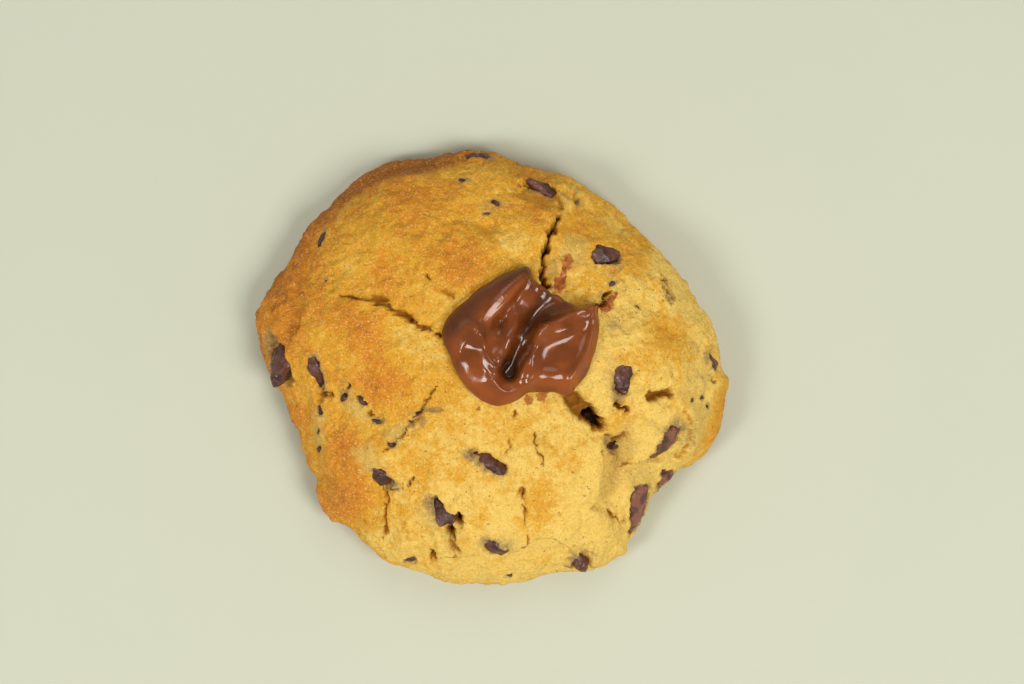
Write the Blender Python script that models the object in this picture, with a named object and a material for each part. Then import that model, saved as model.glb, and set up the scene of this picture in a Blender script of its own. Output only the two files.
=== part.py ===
"""Thick chocolate-chunk cookie with a dollop of milk chocolate on top.

The cookie stands on its flat underside, with +Z up and its origin in the middle of that underside.
Every size and place below is in millimetres. MM turns them into metres when a mesh is made.
The dough is one solid with its cracks, folds and small chips. Each large chunk of chocolate is its
own solid and sits in a pocket of the dough, and so does the dollop.
"""
import math
import random

import bmesh
import bpy
import numpy as np
from mathutils import Matrix, Vector, noise
from mathutils.bvhtree import BVHTree

MM = 0.001
GAP = 0.3

# Driving sizes of the dough
BODY_RADIUS = 41.1
DOUGH_HEIGHT = 23.6
WAIST_HEIGHT = 5.2
SKIRT_WAIST_HEIGHT = 3.0
FOOT_SHARE = 0.93
DOME_FLATNESS = 2.5
DOME_ROUNDNESS = 0.6
DOUGH_GRID = 200
DOUGH_TRIANGLES = 6800

# The cookie rests on the flat, three-cornered middle of its underside, beyond which the underside lifts a little
UNDERSIDE_CORNER = 34.0
UNDERSIDE_SIDES = (90, 210, 330)
UNDERSIDE_LIFT = 0.15
UNDERSIDE_REACH = 12.0

# Lobes of the outline seen from above: angle in degrees, how far it stands out, half width in degrees
OUTLINE_LOBES = (
    (2, 2.2, 10),
    (9, 1.1, 7),
    (50, -3.1, 23),
    (74, -1.9, 8),
    (80, -1.2, 9),
    (87, 0.7, 3),
    (108, -1.0, 8),
    (130, 2.9, 25),
    (136, -0.6, 3),
    (155, 0.6, 4),
    (168, 4.4, 11),
    (188, -1.0, 5),
    (203, -2.6, 13),
    (214, -1.5, 6),
    (221, 1.3, 8),
    (229, -1.1, 8),
    (244, 0.8, 3),
    (264, 1.3, 15),
    (267, -0.7, 7),
    (298, -0.6, 5),
    (300, 2.7, 9),
    (306, 1.0, 1.8),
    (323, -1.4, 8),
    (346, 3.9, 12),
    (356, 1.0, 2.5),
)

# The skirt is the browned foot that shows outside the dome at the upper left
SKIRT_ANGLE = 116
SKIRT_REACH = 21
SKIRT_START = 0.93
SKIRT_DROP = 0.55

# Rounded swellings and hollows of the top: x, y, radius, height
MOUNDS = (
    (-4.5, 19.3, 8.0, 0.9),
    (8.6, 28.4, 6.0, 1.7),
    (-19.1, -0.9, 9.0, 0.9),
    (-27.0, -19.5, 7.0, 1.4),
    (11.2, -18.0, 9.0, 0.8),
    (30.7, 0.8, 5.5, 1.3),
    (28.4, -10.4, 5.0, 0.9),
    (20.6, -2.2, 4.5, 0.8),
    (26.5, 14.3, 8.5, 0.7),
    (-16.6, 28.3, 9.0, 0.6),
    (-29.5, 6.9, 6.0, 0.8),
    (-3.0, -24.4, 8.0, 0.6),
    (38.0, -12.0, 5.0, 0.8),
    (-1.0, 28.6, 4.5, -1.0),
    (17.0, 16.0, 4.5, -0.8),
    (23.6, -17.4, 3.5, -1.3),
    (-28.5, -7.5, 4.5, -0.7),
    (-14.0, -17.0, 5.0, -0.6),
    (35.0, -17.5, 4.0, -0.8),
)

# Cracks and folds: points along the line, half width, depth, lift on its left, lift on its right
CRACKS = (
    (((-27.8, 13.4), (-24.6, 12.6), (-21.2, 12.2), (-17.5, 10.7), (-13.4, 8.0), (-9.2, 6.1)),
     0.35, 1.3, -0.5, 0.6),
    (((13.0, 28.0), (11.4, 24.8), (10.4, 22.9), (9.7, 18.6), (9.9, 16.4), (10.4, 14.0)),
     0.5, 3.0, -0.6, 0.9),
    (((5.0, 34.4), (8.7, 33.4), (11.3, 32.8), (13.3, 30.9), (13.8, 28.8)), 0.35, 0.5, 0.9, -0.9),
    (((-9.4, -2.6), (-10.6, -4.3), (-11.9, -6.2), (-13.2, -9.1), (-16.2, -12.6), (-20.9, -16.0)),
     0.3, 1.0, -0.35, 0.5),
    (((-23.9, -5.0), (-23.4, -7.1), (-21.8, -9.0), (-20.0, -10.2)), 0.3, 1.2, -0.2, 0.3),
    (((-14.2, -20.4), (-14.8, -21.9), (-17.1, -22.7), (-19.4, -23.3)), 0.3, 1.3, -0.3, 0.2),
    (((-19.4, -23.3), (-19.2, -26.4), (-20.3, -30.3), (-19.9, -32.3)), 0.35, 1.2, -0.3, 0.5),
    (((-32.3, -5.0), (-29.4, -5.0)), 0.3, 1.4, 0.0, 0.0),
    (((22.4, -6.4), (24.6, -7.0), (26.0, -8.8)), 0.45, 2.0, 0.1, -0.1),
    (((21.5, -12.1), (21.1, -14.9), (22.1, -17.7), (20.3, -22.4), (18.6, -26.4)), 0.4, 0.8, -1.3, 1.0),
    (((25.0, -19.3), (29.1, -16.9), (31.0, -15.1), (32.8, -11.0)), 0.4, 0.9, 1.1, -1.0),
    (((-8.0, -35.4), (1.9, -35.0), (6.0, -33.8), (9.8, -31.4), (13.5, -33.0), (18.4, -33.4)),
     0.4, 0.5, 0.7, -1.0),
    (((4.1, -13.5), (2.9, -15.7)), 0.3, 0.6, 0.1, -0.1),
    (((8.0, -11.0), (8.6, -13.5), (9.3, -15.7), (9.9, -18.4)), 0.3, 0.9, 0.2, 0.0),
    (((5.9, -22.0), (6.6, -26.2), (6.7, -29.6), (7.2, -33.1)), 0.35, 0.7, 0.15, -0.15),
    (((31.2, 18.2), (33.2, 14.8), (34.3, 11.6)), 0.3, 1.1, -0.4, 0.3),
    (((22.6, 14.4), (21.1, 12.4), (20.2, 10.4)), 0.4, 1.6, 0.3, -0.2),
    (((-11.4, 16.4), (-10.5, 15.5)), 0.3, 1.0, 0.0, 0.0),
    (((22.4, -26.8), (24.7, -29.0), (26.2, -29.7)), 0.3, 1.4, 0.1, 0.1),
    (((16.8, -35.0), (17.8, -36.6), (20.0, -38.2)), 0.3, 1.4, 0.1, 0.1),
    (((36.0, -7.6), (38.0, -11.5), (37.0, -16.5), (34.5, -18.6)), 0.4, 0.5, 0.5, -0.7),
    (((-36.0, 16.5), (-34.5, 11.0), (-36.0, 7.2), (-37.0, 4.0)), 0.4, 0.5, 0.5, -0.6),
)
CRACK_REACH = 4.2
CRACK_WIDENING = 1.7

# Valleys between the lobes of the top: points, reach, depth
VALLEYS = (
    (((25.5, -12.0), (24.2, -16.0), (23.2, -20.0), (21.4, -25.0)), 2.2, 1.5),
    (((-29.0, -8.0), (-24.0, -10.5), (-17.5, -12.0)), 2.6, 0.7),
    (((-27.6, -30.0), (-22.0, -26.5), (-20.0, -22.0)), 2.2, 0.7),
    (((-33.5, -20.0), (-30.0, -21.0), (-27.0, -20.5)), 1.8, 0.6),
    (((-36.0, -4.0), (-33.5, -12.0), (-31.5, -20.0)), 1.6, 0.7),
    (((-13.0, -37.5), (-11.0, -33.0), (-12.0, -29.0)), 2.0, 0.6),
    (((-8.0, 31.0), (-2.0, 27.0), (3.0, 25.5)), 2.4, 0.8),
    (((14.5, 29.0), (17.0, 23.5), (14.0, 18.0)), 2.0, 0.7),
    (((22.0, -7.5), (27.0, -9.0), (30.5, -8.0)), 1.6, 0.8),
    (((28.0, 16.0), (30.5, 9.0), (36.0, 5.0)), 2.2, 0.6),
    (((-27.0, 22.0), (-22.0, 20.0), (-14.0, 17.5)), 2.2, 0.4),
    (((36.5, 9.0), (38.5, 2.0), (37.0, -4.0)), 1.8, 0.7),
)

# Torn hollows: x, y, length, width, heading in degrees, depth
HOLLOWS = (
    (-20.2, 13.0, 3.4, 1.6, -18, 1.7),
    (-15.5, 9.3, 3.6, 1.0, -34, 1.6),
    (-12.6, 7.1, 2.8, 0.9, -28, 1.7),
    (-9.2, 6.1, 1.2, 0.8, -10, 2.6),
    (-7.7, 13.5, 3.2, 1.1, -35, 1.1),
    (-14.4, 13.1, 1.2, 0.8, 0, 1.0),
    (10.6, 15.8, 2.6, 1.7, -60, 3.2),
    (11.4, 24.4, 2.4, 0.9, 62, 3.0),
    (16.6, -7.2, 6.6, 3.4, -42, 3.4),
    (19.6, -10.0, 3.6, 2.6, -42, 5.5),
    (23.4, -6.8, 2.4, 1.4, -20, 2.4),
    (31.4, -4.9, 6.0, 2.1, 6, 3.0),
    (-6.0, -28.2, 1.9, 2.6, 8, 4.5),
    (-7.2, -30.8, 1.9, 2.8, 4, 4.5),
    (-6.6, -33.4, 2.6, 2.2, 0, 1.6),
    (-10.8, -35.6, 1.9, 2.4, 20, 2.4),
    (5.0, -8.3, 1.2, 1.6, 10, 1.5),
    (6.0, -22.8, 0.9, 1.6, 0, 1.4),
    (6.6, -26.2, 0.8, 1.0, 0, 1.2),
    (24.2, -13.6, 3.2, 1.8, 40, 1.8),
    (33.3, -20.6, 1.4, 1.6, 0, 4.0),
    (42.4, -2.4, 1.4, 1.0, 20, 2.4),
    (-36.3, 7.5, 1.6, 1.2, 60, 1.5),
    (-36.3, 14.1, 1.0, 0.8, 30, 1.2),
    (-40.6, 11.4, 2.4, 1.0, 40, 1.0),
    (-11.0, 37.8, 1.6, 0.8, 20, 0.8),
)

# Large chunks of chocolate: name, x, y, length, width, heading in degrees, thickness, rise,
# how much wider the far end is, and how far the middle bends aside
CHUNKS = (
    ("chunk_left_edge", -40.0, 1.4, 9.2, 4.8, 96, 4.2, 0.8, 0.2, 0.5),
    ("chunk_left_bar", -32.1, -2.0, 8.0, 2.0, 92, 3.4, 0.3, 0.25, 0.3),
    ("chunk_top_bar", 11.6, 33.3, 9.6, 2.0, -14, 3.0, 0.3, 0.45, -0.2),
    ("chunk_upper_right", 21.6, 20.9, 5.6, 3.3, -4, 3.2, 0.3, -0.15, 0.2),
    ("chunk_right", 24.8, -2.6, 6.0, 2.9, 84, 3.4, 0.4, 0.25, -0.3),
    ("chunk_lower_right", 32.6, -14.2, 8.6, 4.2, 66, 3.8, 0.5, -0.25, 0.6),
    ("chunk_rim_right", 27.7, -26.4, 10.4, 3.6, 100, 4.0, 0.7, 0.3, 0.5),
    ("chunk_rim_corner", 33.2, -21.0, 4.2, 3.0, 52, 3.2, 0.5, 0.0, 0.3),
    ("chunk_front_middle", -0.3, -17.0, 7.8, 2.0, -31, 3.2, 0.2, 0.2, 0.2),
    ("chunk_front_left", -19.7, -20.6, 4.4, 2.7, -62, 3.4, 0.2, 0.15, 0.2),
    ("chunk_front_pair", -9.0, -26.4, 5.0, 2.6, -58, 3.4, 0.2, 0.3, 0.5),
    ("chunk_front_low", 1.0, -33.9, 4.8, 2.6, -38, 3.4, 0.3, -0.2, 0.2),
    ("chunk_right_edge", 42.0, 1.2, 4.0, 2.2, -28, 3.0, 0.3, 0.2, 0.1),
    ("chunk_back_edge", -2.3, 40.0, 4.6, 2.2, -10, 2.8, 0.5, 0.0, 0.2),
    ("chunk_front_edge", 17.8, -36.6, 3.8, 2.0, -40, 3.0, 0.2, 0.3, 0.2),
)
BLOCK_CORNERS = 22
CHIP_CORNERS = 14
BLOCK_SQUARENESS = 3.2
BLOCK_MARGIN = 0.3
GOLDEN_TURN = math.pi * (3.0 - math.sqrt(5.0))

# Small chips that are fused to the dough: x, y, length, width, heading in degrees
CHIPS = (
    (-31.4, 24.6, 4.2, 1.1, 72),
    (-27.0, -5.5, 2.0, 1.5, 62),
    (-26.1, -3.6, 1.5, 0.6, 50),
    (-23.7, -6.4, 1.8, 0.8, -65),
    (-20.6, -9.9, 1.8, 1.0, -18),
    (-12.3, -7.7, 0.9, 0.8, 50),
    (-13.2, -9.1, 1.8, 1.3, 50),
    (-14.4, -10.2, 1.2, 0.7, 40),
    (-18.5, -14.1, 1.2, 0.8, -20),
    (-7.5, -28.4, 2.0, 1.5, 70),
    (23.0, -14.0, 3.0, 1.1, 40),
    (-5.2, 35.1, 1.4, 0.9, -20),
    (1.2, 30.6, 2.0, 0.7, -30),
    (-0.4, 28.6, 1.6, 0.6, 10),
    (-14.9, -36.5, 2.6, 1.2, 18),
    (22.9, 15.6, 1.8, 0.8, 40),
    (33.3, 14.4, 3.4, 0.6, -65),
    (37.8, -6.1, 0.9, 0.8, 0),
    (39.8, -5.7, 1.0, 0.9, 60),
    (41.0, -7.4, 0.9, 0.7, 40),
    (-31.7, -8.0, 1.9, 0.9, 74),
    (-31.9, -12.0, 1.5, 0.7, 40),
    (-32.0, -15.4, 1.4, 0.8, 30),
    (3.6, -39.4, 1.3, 0.7, 10),
    (27.4, 11.2, 1.0, 0.5, -40),
    (-30.6, 16.0, 0.8, 0.5, 20),
)
CHIP_THICKNESS = 2.0
FIRST_CHIP_SEED = 100
CHIP_RISE = 0.25

# Driving sizes of the dollop: its outline as angle in degrees and distance from its centre
DOLLOP_CENTRE = (6.4, 5.8)
DOLLOP_OUTLINE = (
    (11, 14.1), (19, 14.3), (23, 15.2), (26, 14.4), (28, 11.3), (40, 9.9), (50, 9.8), (56, 9.2), (73, 9.9),
    (81, 10.4), (85, 12.6), (88, 12.9), (98, 12.3), (110, 11.9), (124, 11.7), (136, 12.1), (147, 12.3),
    (156, 13.2), (167, 14.5), (178, 15.2), (184, 14.9), (194, 14.1), (216, 14.1), (238, 14.2),
    (248, 13.9), (256, 13.0), (266, 11.6), (273, 10.4), (286, 10.7), (299, 11.8), (303, 13.1),
    (308, 14.0), (315, 13.4), (329, 13.5), (341, 13.2), (356, 13.5),
)
DOLLOP_THICKNESS = 2.4
DOLLOP_SINK = 0.5
DOLLOP_THINNEST = 0.4
DOLLOP_GRID = 80
DOLLOP_TRIANGLES = 2400
SEAT_TRIANGLES = 1000
DOLLOP_SQUARENESS = 3.2

# Ridges and troughs of the dollop: points, fall on the left, fall on the right, height at the
# start, height at the end, sharpness of the crest
DOLLOP_RIDGES = (
    (((7.4, 19.0), (5.4, 16.7), (3.1, 14.0), (1.2, 12.1), (-0.2, 10.5), (-1.2, 8.9), (-2.2, 7.4)),
     1.2, 3.2, 3.2, 2.2, 1.35),
    (((-2.2, 7.4), (-3.9, 8.1), (-5.0, 7.0), (-6.0, 5.8)), 1.0, 0.8, 0.7, 0.4, 1.8),
    (((7.1, 15.6), (5.5, 13.2), (3.9, 11.0), (2.3, 9.0)), 0.8, 0.8, -1.0, -0.8, 1.8),
    (((5.0, 9.8), (5.1, 8.0), (4.7, 6.0), (3.9, 4.0), (3.1, 2.0), (2.7, 0.4)), 0.6, 1.7, 1.3, 1.6, 1.3),
    (((11.8, 12.0), (8.6, 9.8), (6.9, 6.6), (5.4, 3.5), (4.2, 0.8), (3.6, -0.9)), 1.3, 1.3, -1.2, -4.0, 2.2),
    (((18.4, 10.6), (16.3, 9.5), (14.3, 8.5), (12.3, 7.5), (10.2, 6.9)), 1.7, 0.8, 1.7, 2.1, 2.0),
    (((10.2, 6.9), (8.6, 5.2), (8.0, 3.0), (7.0, 1.0), (5.6, -1.0)), 1.6, 0.7, 1.6, 0.7, 1.8),
    (((19.4, 12.4), (19.8, 9.0), (19.5, 6.0), (19.0, 3.4), (17.9, 1.2), (16.2, -0.8), (15.4, -3.0)),
     0.8, 0.9, 1.5, 0.9, 1.6),
    (((0.8, -2.2), (2.0, -3.9), (3.5, -4.6), (5.1, -3.9), (6.4, -3.5), (7.7, -2.4), (8.0, -1.0), (7.9, 2.4)),
     0.7, 1.2, 0.9, 0.6, 1.5),
    (((8.6, -1.9), (12.0, -2.2), (15.2, -2.4)), 2.4, 1.9, 0.8, 0.8, 2.0),
    (((-1.6, 6.2), (-1.0, 4.5), (-0.3, 2.0), (1.0, 0.1)), 0.7, 1.3, 0.7, 0.8, 1.6),
    (((8.0, 15.6), (9.4, 15.0), (11.5, 13.4), (14.3, 11.9), (17.6, 10.4)), 0.6, 0.9, 1.0, 0.6, 1.6),
)

# Swellings and hollows of the dollop: x, y, radius, height
DOLLOP_SWELLS = (
    (-3.2, 2.4, 6.0, 1.5),
    (0.6, -3.2, 4.0, 0.6),
    (14.4, 2.0, 5.6, 1.0),
    (3.7, -0.9, 1.2, -1.6),
    (1.8, 8.2, 1.0, -1.3),
    (2.8, 5.6, 1.4, 0.5),
    (1.6, 1.7, 0.8, 0.5),
    (10.2, 14.4, 1.1, 0.5),
)

# Colour, roughness and metallic value of each material
MATERIALS = {
    "baked_dough": ((0.76, 0.42, 0.08, 1.0), 0.75, 0.0),
    "chocolate_chunk": ((0.13, 0.05, 0.035, 1.0), 0.45, 0.0),
    "milk_chocolate": ((0.24, 0.07, 0.03, 1.0), 0.2, 0.0),
}


def clear_scene():
    """Removes the objects of the open scene."""
    for item in list(bpy.data.objects):
        bpy.data.objects.remove(item, do_unlink=True)


def material(name):
    """A Principled material from the table of materials."""
    colour, roughness, metallic = MATERIALS[name]
    made = bpy.data.materials.new(name)
    made.use_nodes = True
    shader = made.node_tree.nodes["Principled BSDF"]
    shader.inputs["Base Color"].default_value = colour
    shader.inputs["Roughness"].default_value = roughness
    shader.inputs["Metallic"].default_value = metallic
    made.diffuse_color = colour
    return made


def bell(distance, reach):
    """One at no distance, falling smoothly to nothing beyond the reach."""
    return np.exp(-(distance / reach) ** 2)


def angle_between(angles, centre):
    """Signed degrees from the centre to each angle, the short way round."""
    return (angles - centre + 180.0) % 360.0 - 180.0


def outline_radius(angles):
    """Distance from the middle to the outline of the cookie at each angle."""
    radius = np.full(angles.shape, BODY_RADIUS)
    for centre, height, reach in OUTLINE_LOBES:
        radius = radius + height * bell(angle_between(angles, centre), reach)
    return radius


def smooth_step(low, high, values):
    """Rises from nothing at low to one at high."""
    share = np.clip((values - low) / (high - low), 0.0, 1.0)
    return share * share * (3.0 - 2.0 * share)


def rounded_line(points, rounds=2):
    """The line with its corners cut, so that it bends instead of breaking."""
    for _ in range(rounds):
        cut = [points[0]]
        for (ax, ay), (bx, by) in zip(points, points[1:]):
            cut.append((0.75 * ax + 0.25 * bx, 0.75 * ay + 0.25 * by))
            cut.append((0.25 * ax + 0.75 * bx, 0.25 * ay + 0.75 * by))
        points = cut + [points[-1]]
    return points


def line_field(x, y, points):
    """Distance to a line of points, the share along it, and +1 on its left or -1 on its right."""
    nearest = np.full(x.shape, 1e9)
    along = np.zeros(x.shape)
    side = np.ones(x.shape)
    lengths = [math.dist(a, b) for a, b in zip(points, points[1:])]
    total = sum(lengths)
    passed = 0.0
    for (ax, ay), (bx, by), length in zip(points, points[1:], lengths):
        dx, dy = (bx - ax) / length, (by - ay) / length
        run = np.clip((x - ax) * dx + (y - ay) * dy, 0.0, length)
        distance = np.hypot(x - ax - run * dx, y - ay - run * dy)
        turn = dx * (y - ay) - dy * (x - ax)
        closer = distance < nearest
        nearest = np.where(closer, distance, nearest)
        along = np.where(closer, (passed + run) / total, along)
        side = np.where(closer, np.where(turn >= 0.0, 1.0, -1.0), side)
        passed += length
    return nearest, along, side


def noise_at(points, size, octaves=1):
    """Smooth noise between about -1 and 1 whose bumps are as wide as the size."""
    return np.array([noise.fractal(Vector(p) / size, 1.0, 2.0, octaves) for p in points])


def dome_profile(steps=400):
    """The half section from the top middle to the foot, as arrays against the share of its length."""
    across = 1.0 - (1.0 - np.linspace(0.0, 1.0, steps)) ** 2
    rise = (1.0 - across ** DOME_FLATNESS) ** DOME_ROUNDNESS
    turn = np.linspace(0.0, math.pi / 2, steps // 4)[1:]
    under = 1.0 - (1.0 - FOOT_SHARE) * (1.0 - np.cos(turn))
    drop = 1.0 - np.sin(turn)
    share_out = np.concatenate([across, under])
    share_up = np.concatenate([rise, np.zeros(turn.shape)])
    share_waist = np.concatenate([np.ones(steps), drop])
    height = share_waist * WAIST_HEIGHT + share_up * (DOUGH_HEIGHT - WAIST_HEIGHT)
    length = np.hypot(np.diff(share_out * BODY_RADIUS), np.diff(height))
    run = np.concatenate([[0.0], np.cumsum(length)])
    return run / run[-1], share_out, share_up, share_waist


def square_to_disc(count):
    """Grid points of a square moved onto a disc: distance from the middle, and angle in degrees."""
    ticks = np.linspace(-1.0, 1.0, count + 1)
    a, b = np.meshgrid(ticks, ticks, indexing="ij")
    wide = np.abs(a) >= np.abs(b)
    safe_a = np.where(a == 0.0, 1.0, a)
    safe_b = np.where(b == 0.0, 1.0, b)
    reach = np.where(wide, a, b)
    angle = np.where(wide, math.pi / 4 * b / safe_a, math.pi / 2 - math.pi / 4 * a / safe_b)
    x = (reach * np.cos(angle)).ravel()
    y = (reach * np.sin(angle)).ravel()
    return np.hypot(x, y), np.degrees(np.arctan2(y, x)) % 360.0


def closed_grid(count, upper, lower):
    """A closed mesh of two grids of points in millimetres that share their border."""
    side = count + 1
    border = {}
    vertices = [tuple(p) for p in upper]
    lower_index = np.zeros(side * side, dtype=int)
    for i in range(side):
        for j in range(side):
            flat = i * side + j
            if i in (0, count) or j in (0, count):
                lower_index[flat] = flat
                border[flat] = True
            else:
                lower_index[flat] = len(vertices)
                vertices.append(tuple(lower[flat]))
    faces = []
    for i in range(count):
        for j in range(count):
            a, b = i * side + j, (i + 1) * side + j
            ring = (a, b, b + 1, a + 1)
            faces.append(ring)
            faces.append(tuple(int(lower_index[k]) for k in reversed(ring)))
    mesh = bpy.data.meshes.new("grid")
    mesh.from_pydata(vertices, [], faces)
    mesh.update()
    return mesh


def smooth_dough(reach, angles):
    """Places on the dough without its cracks, and how far each is above the foot."""
    length, share_out, share_up, share_waist = dome_profile()
    across = np.interp(reach, length, share_out)
    rise = np.interp(reach, length, share_up)
    foot = np.interp(reach, length, share_waist)
    in_skirt = bell(angle_between(angles, SKIRT_ANGLE), SKIRT_REACH)
    waist = WAIST_HEIGHT + (SKIRT_WAIST_HEIGHT - WAIST_HEIGHT) * in_skirt
    radius = outline_radius(angles) * across
    x = radius * np.cos(np.radians(angles))
    y = radius * np.sin(np.radians(angles))
    z = foot * waist + rise * (DOUGH_HEIGHT - waist)
    ledge = smooth_step(SKIRT_START - 0.03, SKIRT_START + 0.03, across) * in_skirt
    z = z - ledge * SKIRT_DROP * np.maximum(z - waist, 0.0)
    return np.stack([x, y, z], axis=1), foot


def coarse_relief(points):
    """The mounds and the wide unevenness, which the dollop's underside follows too."""
    x, y = points[:, 0], points[:, 1]
    relief = 0.9 * noise_at(points, 11.0)
    for mx, my, radius, height in MOUNDS:
        relief = relief + height * bell(np.hypot(x - mx, y - my), radius)
    for line, reach, depth in VALLEYS:
        distance, along, _ = line_field(x, y, rounded_line(line))
        ends = smooth_step(0.0, 0.25, along) * smooth_step(0.0, 0.25, 1.0 - along)
        relief = relief - depth * (0.3 + 0.7 * ends) * bell(distance, reach)
    return relief


def ragged(points):
    """Plan places shifted by noise, so that a drawn line comes out torn."""
    x = points[:, 0] + 0.7 * noise_at(points + 40.0, 2.6, 2) + 0.35 * noise_at(points + 20.0, 0.9, 2)
    y = points[:, 1] + 0.7 * noise_at(points + 80.0, 2.6, 2) + 0.35 * noise_at(points + 60.0, 0.9, 2)
    return x, y


def flat_block_distance(x, y, middle_x, middle_y, length, width, heading):
    """Distance on the plan to the edge of a block with round ends, negative inside."""
    turn = math.radians(heading)
    along = np.abs((x - middle_x) * math.cos(turn) + (y - middle_y) * math.sin(turn))
    across = np.abs((y - middle_y) * math.cos(turn) - (x - middle_x) * math.sin(turn))
    corner = 0.42 * min(length, width)
    over_x = along - (length / 2 - corner)
    over_y = across - (width / 2 - corner)
    outside = np.hypot(np.maximum(over_x, 0.0), np.maximum(over_y, 0.0))
    return outside + np.minimum(np.maximum(over_x, over_y), 0.0) - corner


def beside_dollop(x, y):
    """Distance on the plan to the dollop's outline, negative under the dollop."""
    dx, dy = x - DOLLOP_CENTRE[0], y - DOLLOP_CENTRE[1]
    return np.hypot(dx, dy) - dollop_radius(np.degrees(np.arctan2(dy, dx)) % 360.0)


def dough_relief(points):
    """How far the dough stands out of its smooth form: mounds, valleys, cracks, hollows and crumb."""
    coarse = coarse_relief(points)
    relief = 0.45 * noise_at(points, 4.5, 2) + 0.2 * noise_at(points, 1.6)
    x, y = ragged(points)
    for line, half_width, depth, left, right in CRACKS:
        distance, along, side = line_field(x, y, rounded_line(line))
        ends = smooth_step(0.0, 0.12, along) * smooth_step(0.0, 0.12, 1.0 - along)
        lift = np.where(side > 0.0, left, right) * smooth_step(0.0, 0.6, distance)
        relief = relief + lift * ends * bell(distance, CRACK_REACH)
        width = CRACK_WIDENING * half_width * (0.3 + 0.7 * ends)
        relief = relief - depth * (0.4 + 0.6 * ends) * (1.0 - smooth_step(0.2, 1.3, distance / width))
    for place_x, place_y, length, width, heading, depth in HOLLOWS:
        edge = flat_block_distance(x, y, place_x, place_y, length, width, heading)
        relief = relief - depth * (1.0 - smooth_step(-0.7, 0.2, edge))
    return coarse + relief * smooth_step(-1.0, 0.4, beside_dollop(points[:, 0], points[:, 1]))


def underside_height(x, y):
    """How far the underside has lifted at each point, nothing in its three-cornered middle."""
    beyond = np.full(x.shape, -UNDERSIDE_CORNER)
    for side in UNDERSIDE_SIDES:
        turn = math.radians(side)
        beyond = np.maximum(beyond, x * math.cos(turn) + y * math.sin(turn) - UNDERSIDE_CORNER / 2)
    return UNDERSIDE_LIFT * smooth_step(0.0, UNDERSIDE_REACH, beyond)


def dough_mesh():
    """The dough as a fine closed mesh in millimetres, standing on its flat underside."""
    reach, angles = square_to_disc(DOUGH_GRID)
    upper, foot = smooth_dough(reach, angles)
    lower = upper.copy()
    foot_radius = reach * FOOT_SHARE * outline_radius(angles)
    lower[:, 0] = foot_radius * np.cos(np.radians(angles))
    lower[:, 1] = foot_radius * np.sin(np.radians(angles))
    lower[:, 2] = underside_height(lower[:, 0], lower[:, 1])
    mesh = closed_grid(DOUGH_GRID, upper, lower)
    count = len(upper)
    normals = np.array([v.normal for v in mesh.vertices])[:count]
    strength = smooth_step(0.0, 0.8, foot) * (0.5 + 0.5 * smooth_step(0.0, 6.0, upper[:, 2]))
    moved = upper + normals * (dough_relief(upper) * strength)[:, None]
    lifted = underside_height(moved[:, 0], moved[:, 1])
    moved[:, 2] = np.where(foot <= 0.0, lifted, np.maximum(moved[:, 2], lifted + 0.02))
    for index in range(count):
        mesh.vertices[index].co = moved[index]
    mesh.update()
    return mesh


def as_object(name, mesh, scale=1.0):
    """Puts a mesh in the scene under its own name, scaled in its vertices."""
    mesh.transform(Matrix.Scale(scale, 4))
    mesh.name = name
    item = bpy.data.objects.new(name, mesh)
    bpy.context.collection.objects.link(item)
    return item


def broken_block(size, taper, bend, seed, corners, grow=0.0):
    """The hull of uneven corners spread over a rounded block, wider at one end and bent aside."""
    length, width, thickness = (value + 2 * grow for value in size)
    draw = random.Random(seed)
    made = bmesh.new()
    for k in range(corners):
        up = 1.0 - (2 * k + 1) / corners
        turn = k * GOLDEN_TURN + draw.uniform(-0.4, 0.4)
        ring = math.sqrt(1.0 - up * up)
        way = Vector((ring * math.cos(turn), ring * math.sin(turn), up))
        reach = sum(abs(c) ** BLOCK_SQUARENESS for c in way) ** (-1.0 / BLOCK_SQUARENESS)
        way *= 0.5 * reach * draw.uniform(0.86, 1.0)
        made.verts.new((way.x * length, way.y * width, way.z * thickness))
    hull = bmesh.ops.convex_hull(made, input=made.verts[:])
    bmesh.ops.delete(made, geom=hull["geom_interior"], context="VERTS")
    for vertex in made.verts:
        share = 2 * vertex.co.x / length
        vertex.co.y = vertex.co.y * (1.0 + taper * share) + bend * (share * share - 0.4)
    return made


def surface_frame(tree, x, y, heading, sink):
    """A placing matrix on the dough under a point of the plan, turned to its heading."""
    above = Vector((x, y, 2 * DOUGH_HEIGHT))
    spot, normal, _, _ = tree.ray_cast(above, Vector((0.0, 0.0, -1.0)))
    if spot is None:
        spot, normal, _, _ = tree.find_nearest(Vector((x, y, WAIST_HEIGHT)))
    along = Vector((math.cos(math.radians(heading)), math.sin(math.radians(heading)), 0.0))
    across = normal.cross(along).normalized()
    along = across.cross(normal).normalized()
    place = Matrix((along, across, normal)).transposed().to_4x4()
    place.translation = spot - normal * sink
    return place


def placed_block(name, tree, place, size, rise, form, grow=0.0):
    """One block of chocolate set into the dough so that only its top stands out."""
    x, y, heading = place
    made = broken_block(size, *form, grow)
    bmesh.ops.triangulate(made, faces=made.faces[:])
    mesh = bpy.data.meshes.new("block")
    made.to_mesh(mesh)
    made.free()
    mesh.transform(surface_frame(tree, x, y, heading, size[2] / 2 - rise))
    return as_object(name, mesh, MM)


def dollop_radius(angles):
    """Distance from the dollop's centre to its outline at each angle."""
    turns = np.array([a for a, _ in DOLLOP_OUTLINE], dtype=float)
    sizes = np.array([r for _, r in DOLLOP_OUTLINE], dtype=float)
    turns = np.concatenate([turns - 360.0, turns, turns + 360.0])
    sizes = np.concatenate([sizes, sizes, sizes])
    spread = np.linspace(-2.0, 2.0, 5)
    return np.mean([np.interp(angles + s, turns, sizes) for s in spread], axis=0)


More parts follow.
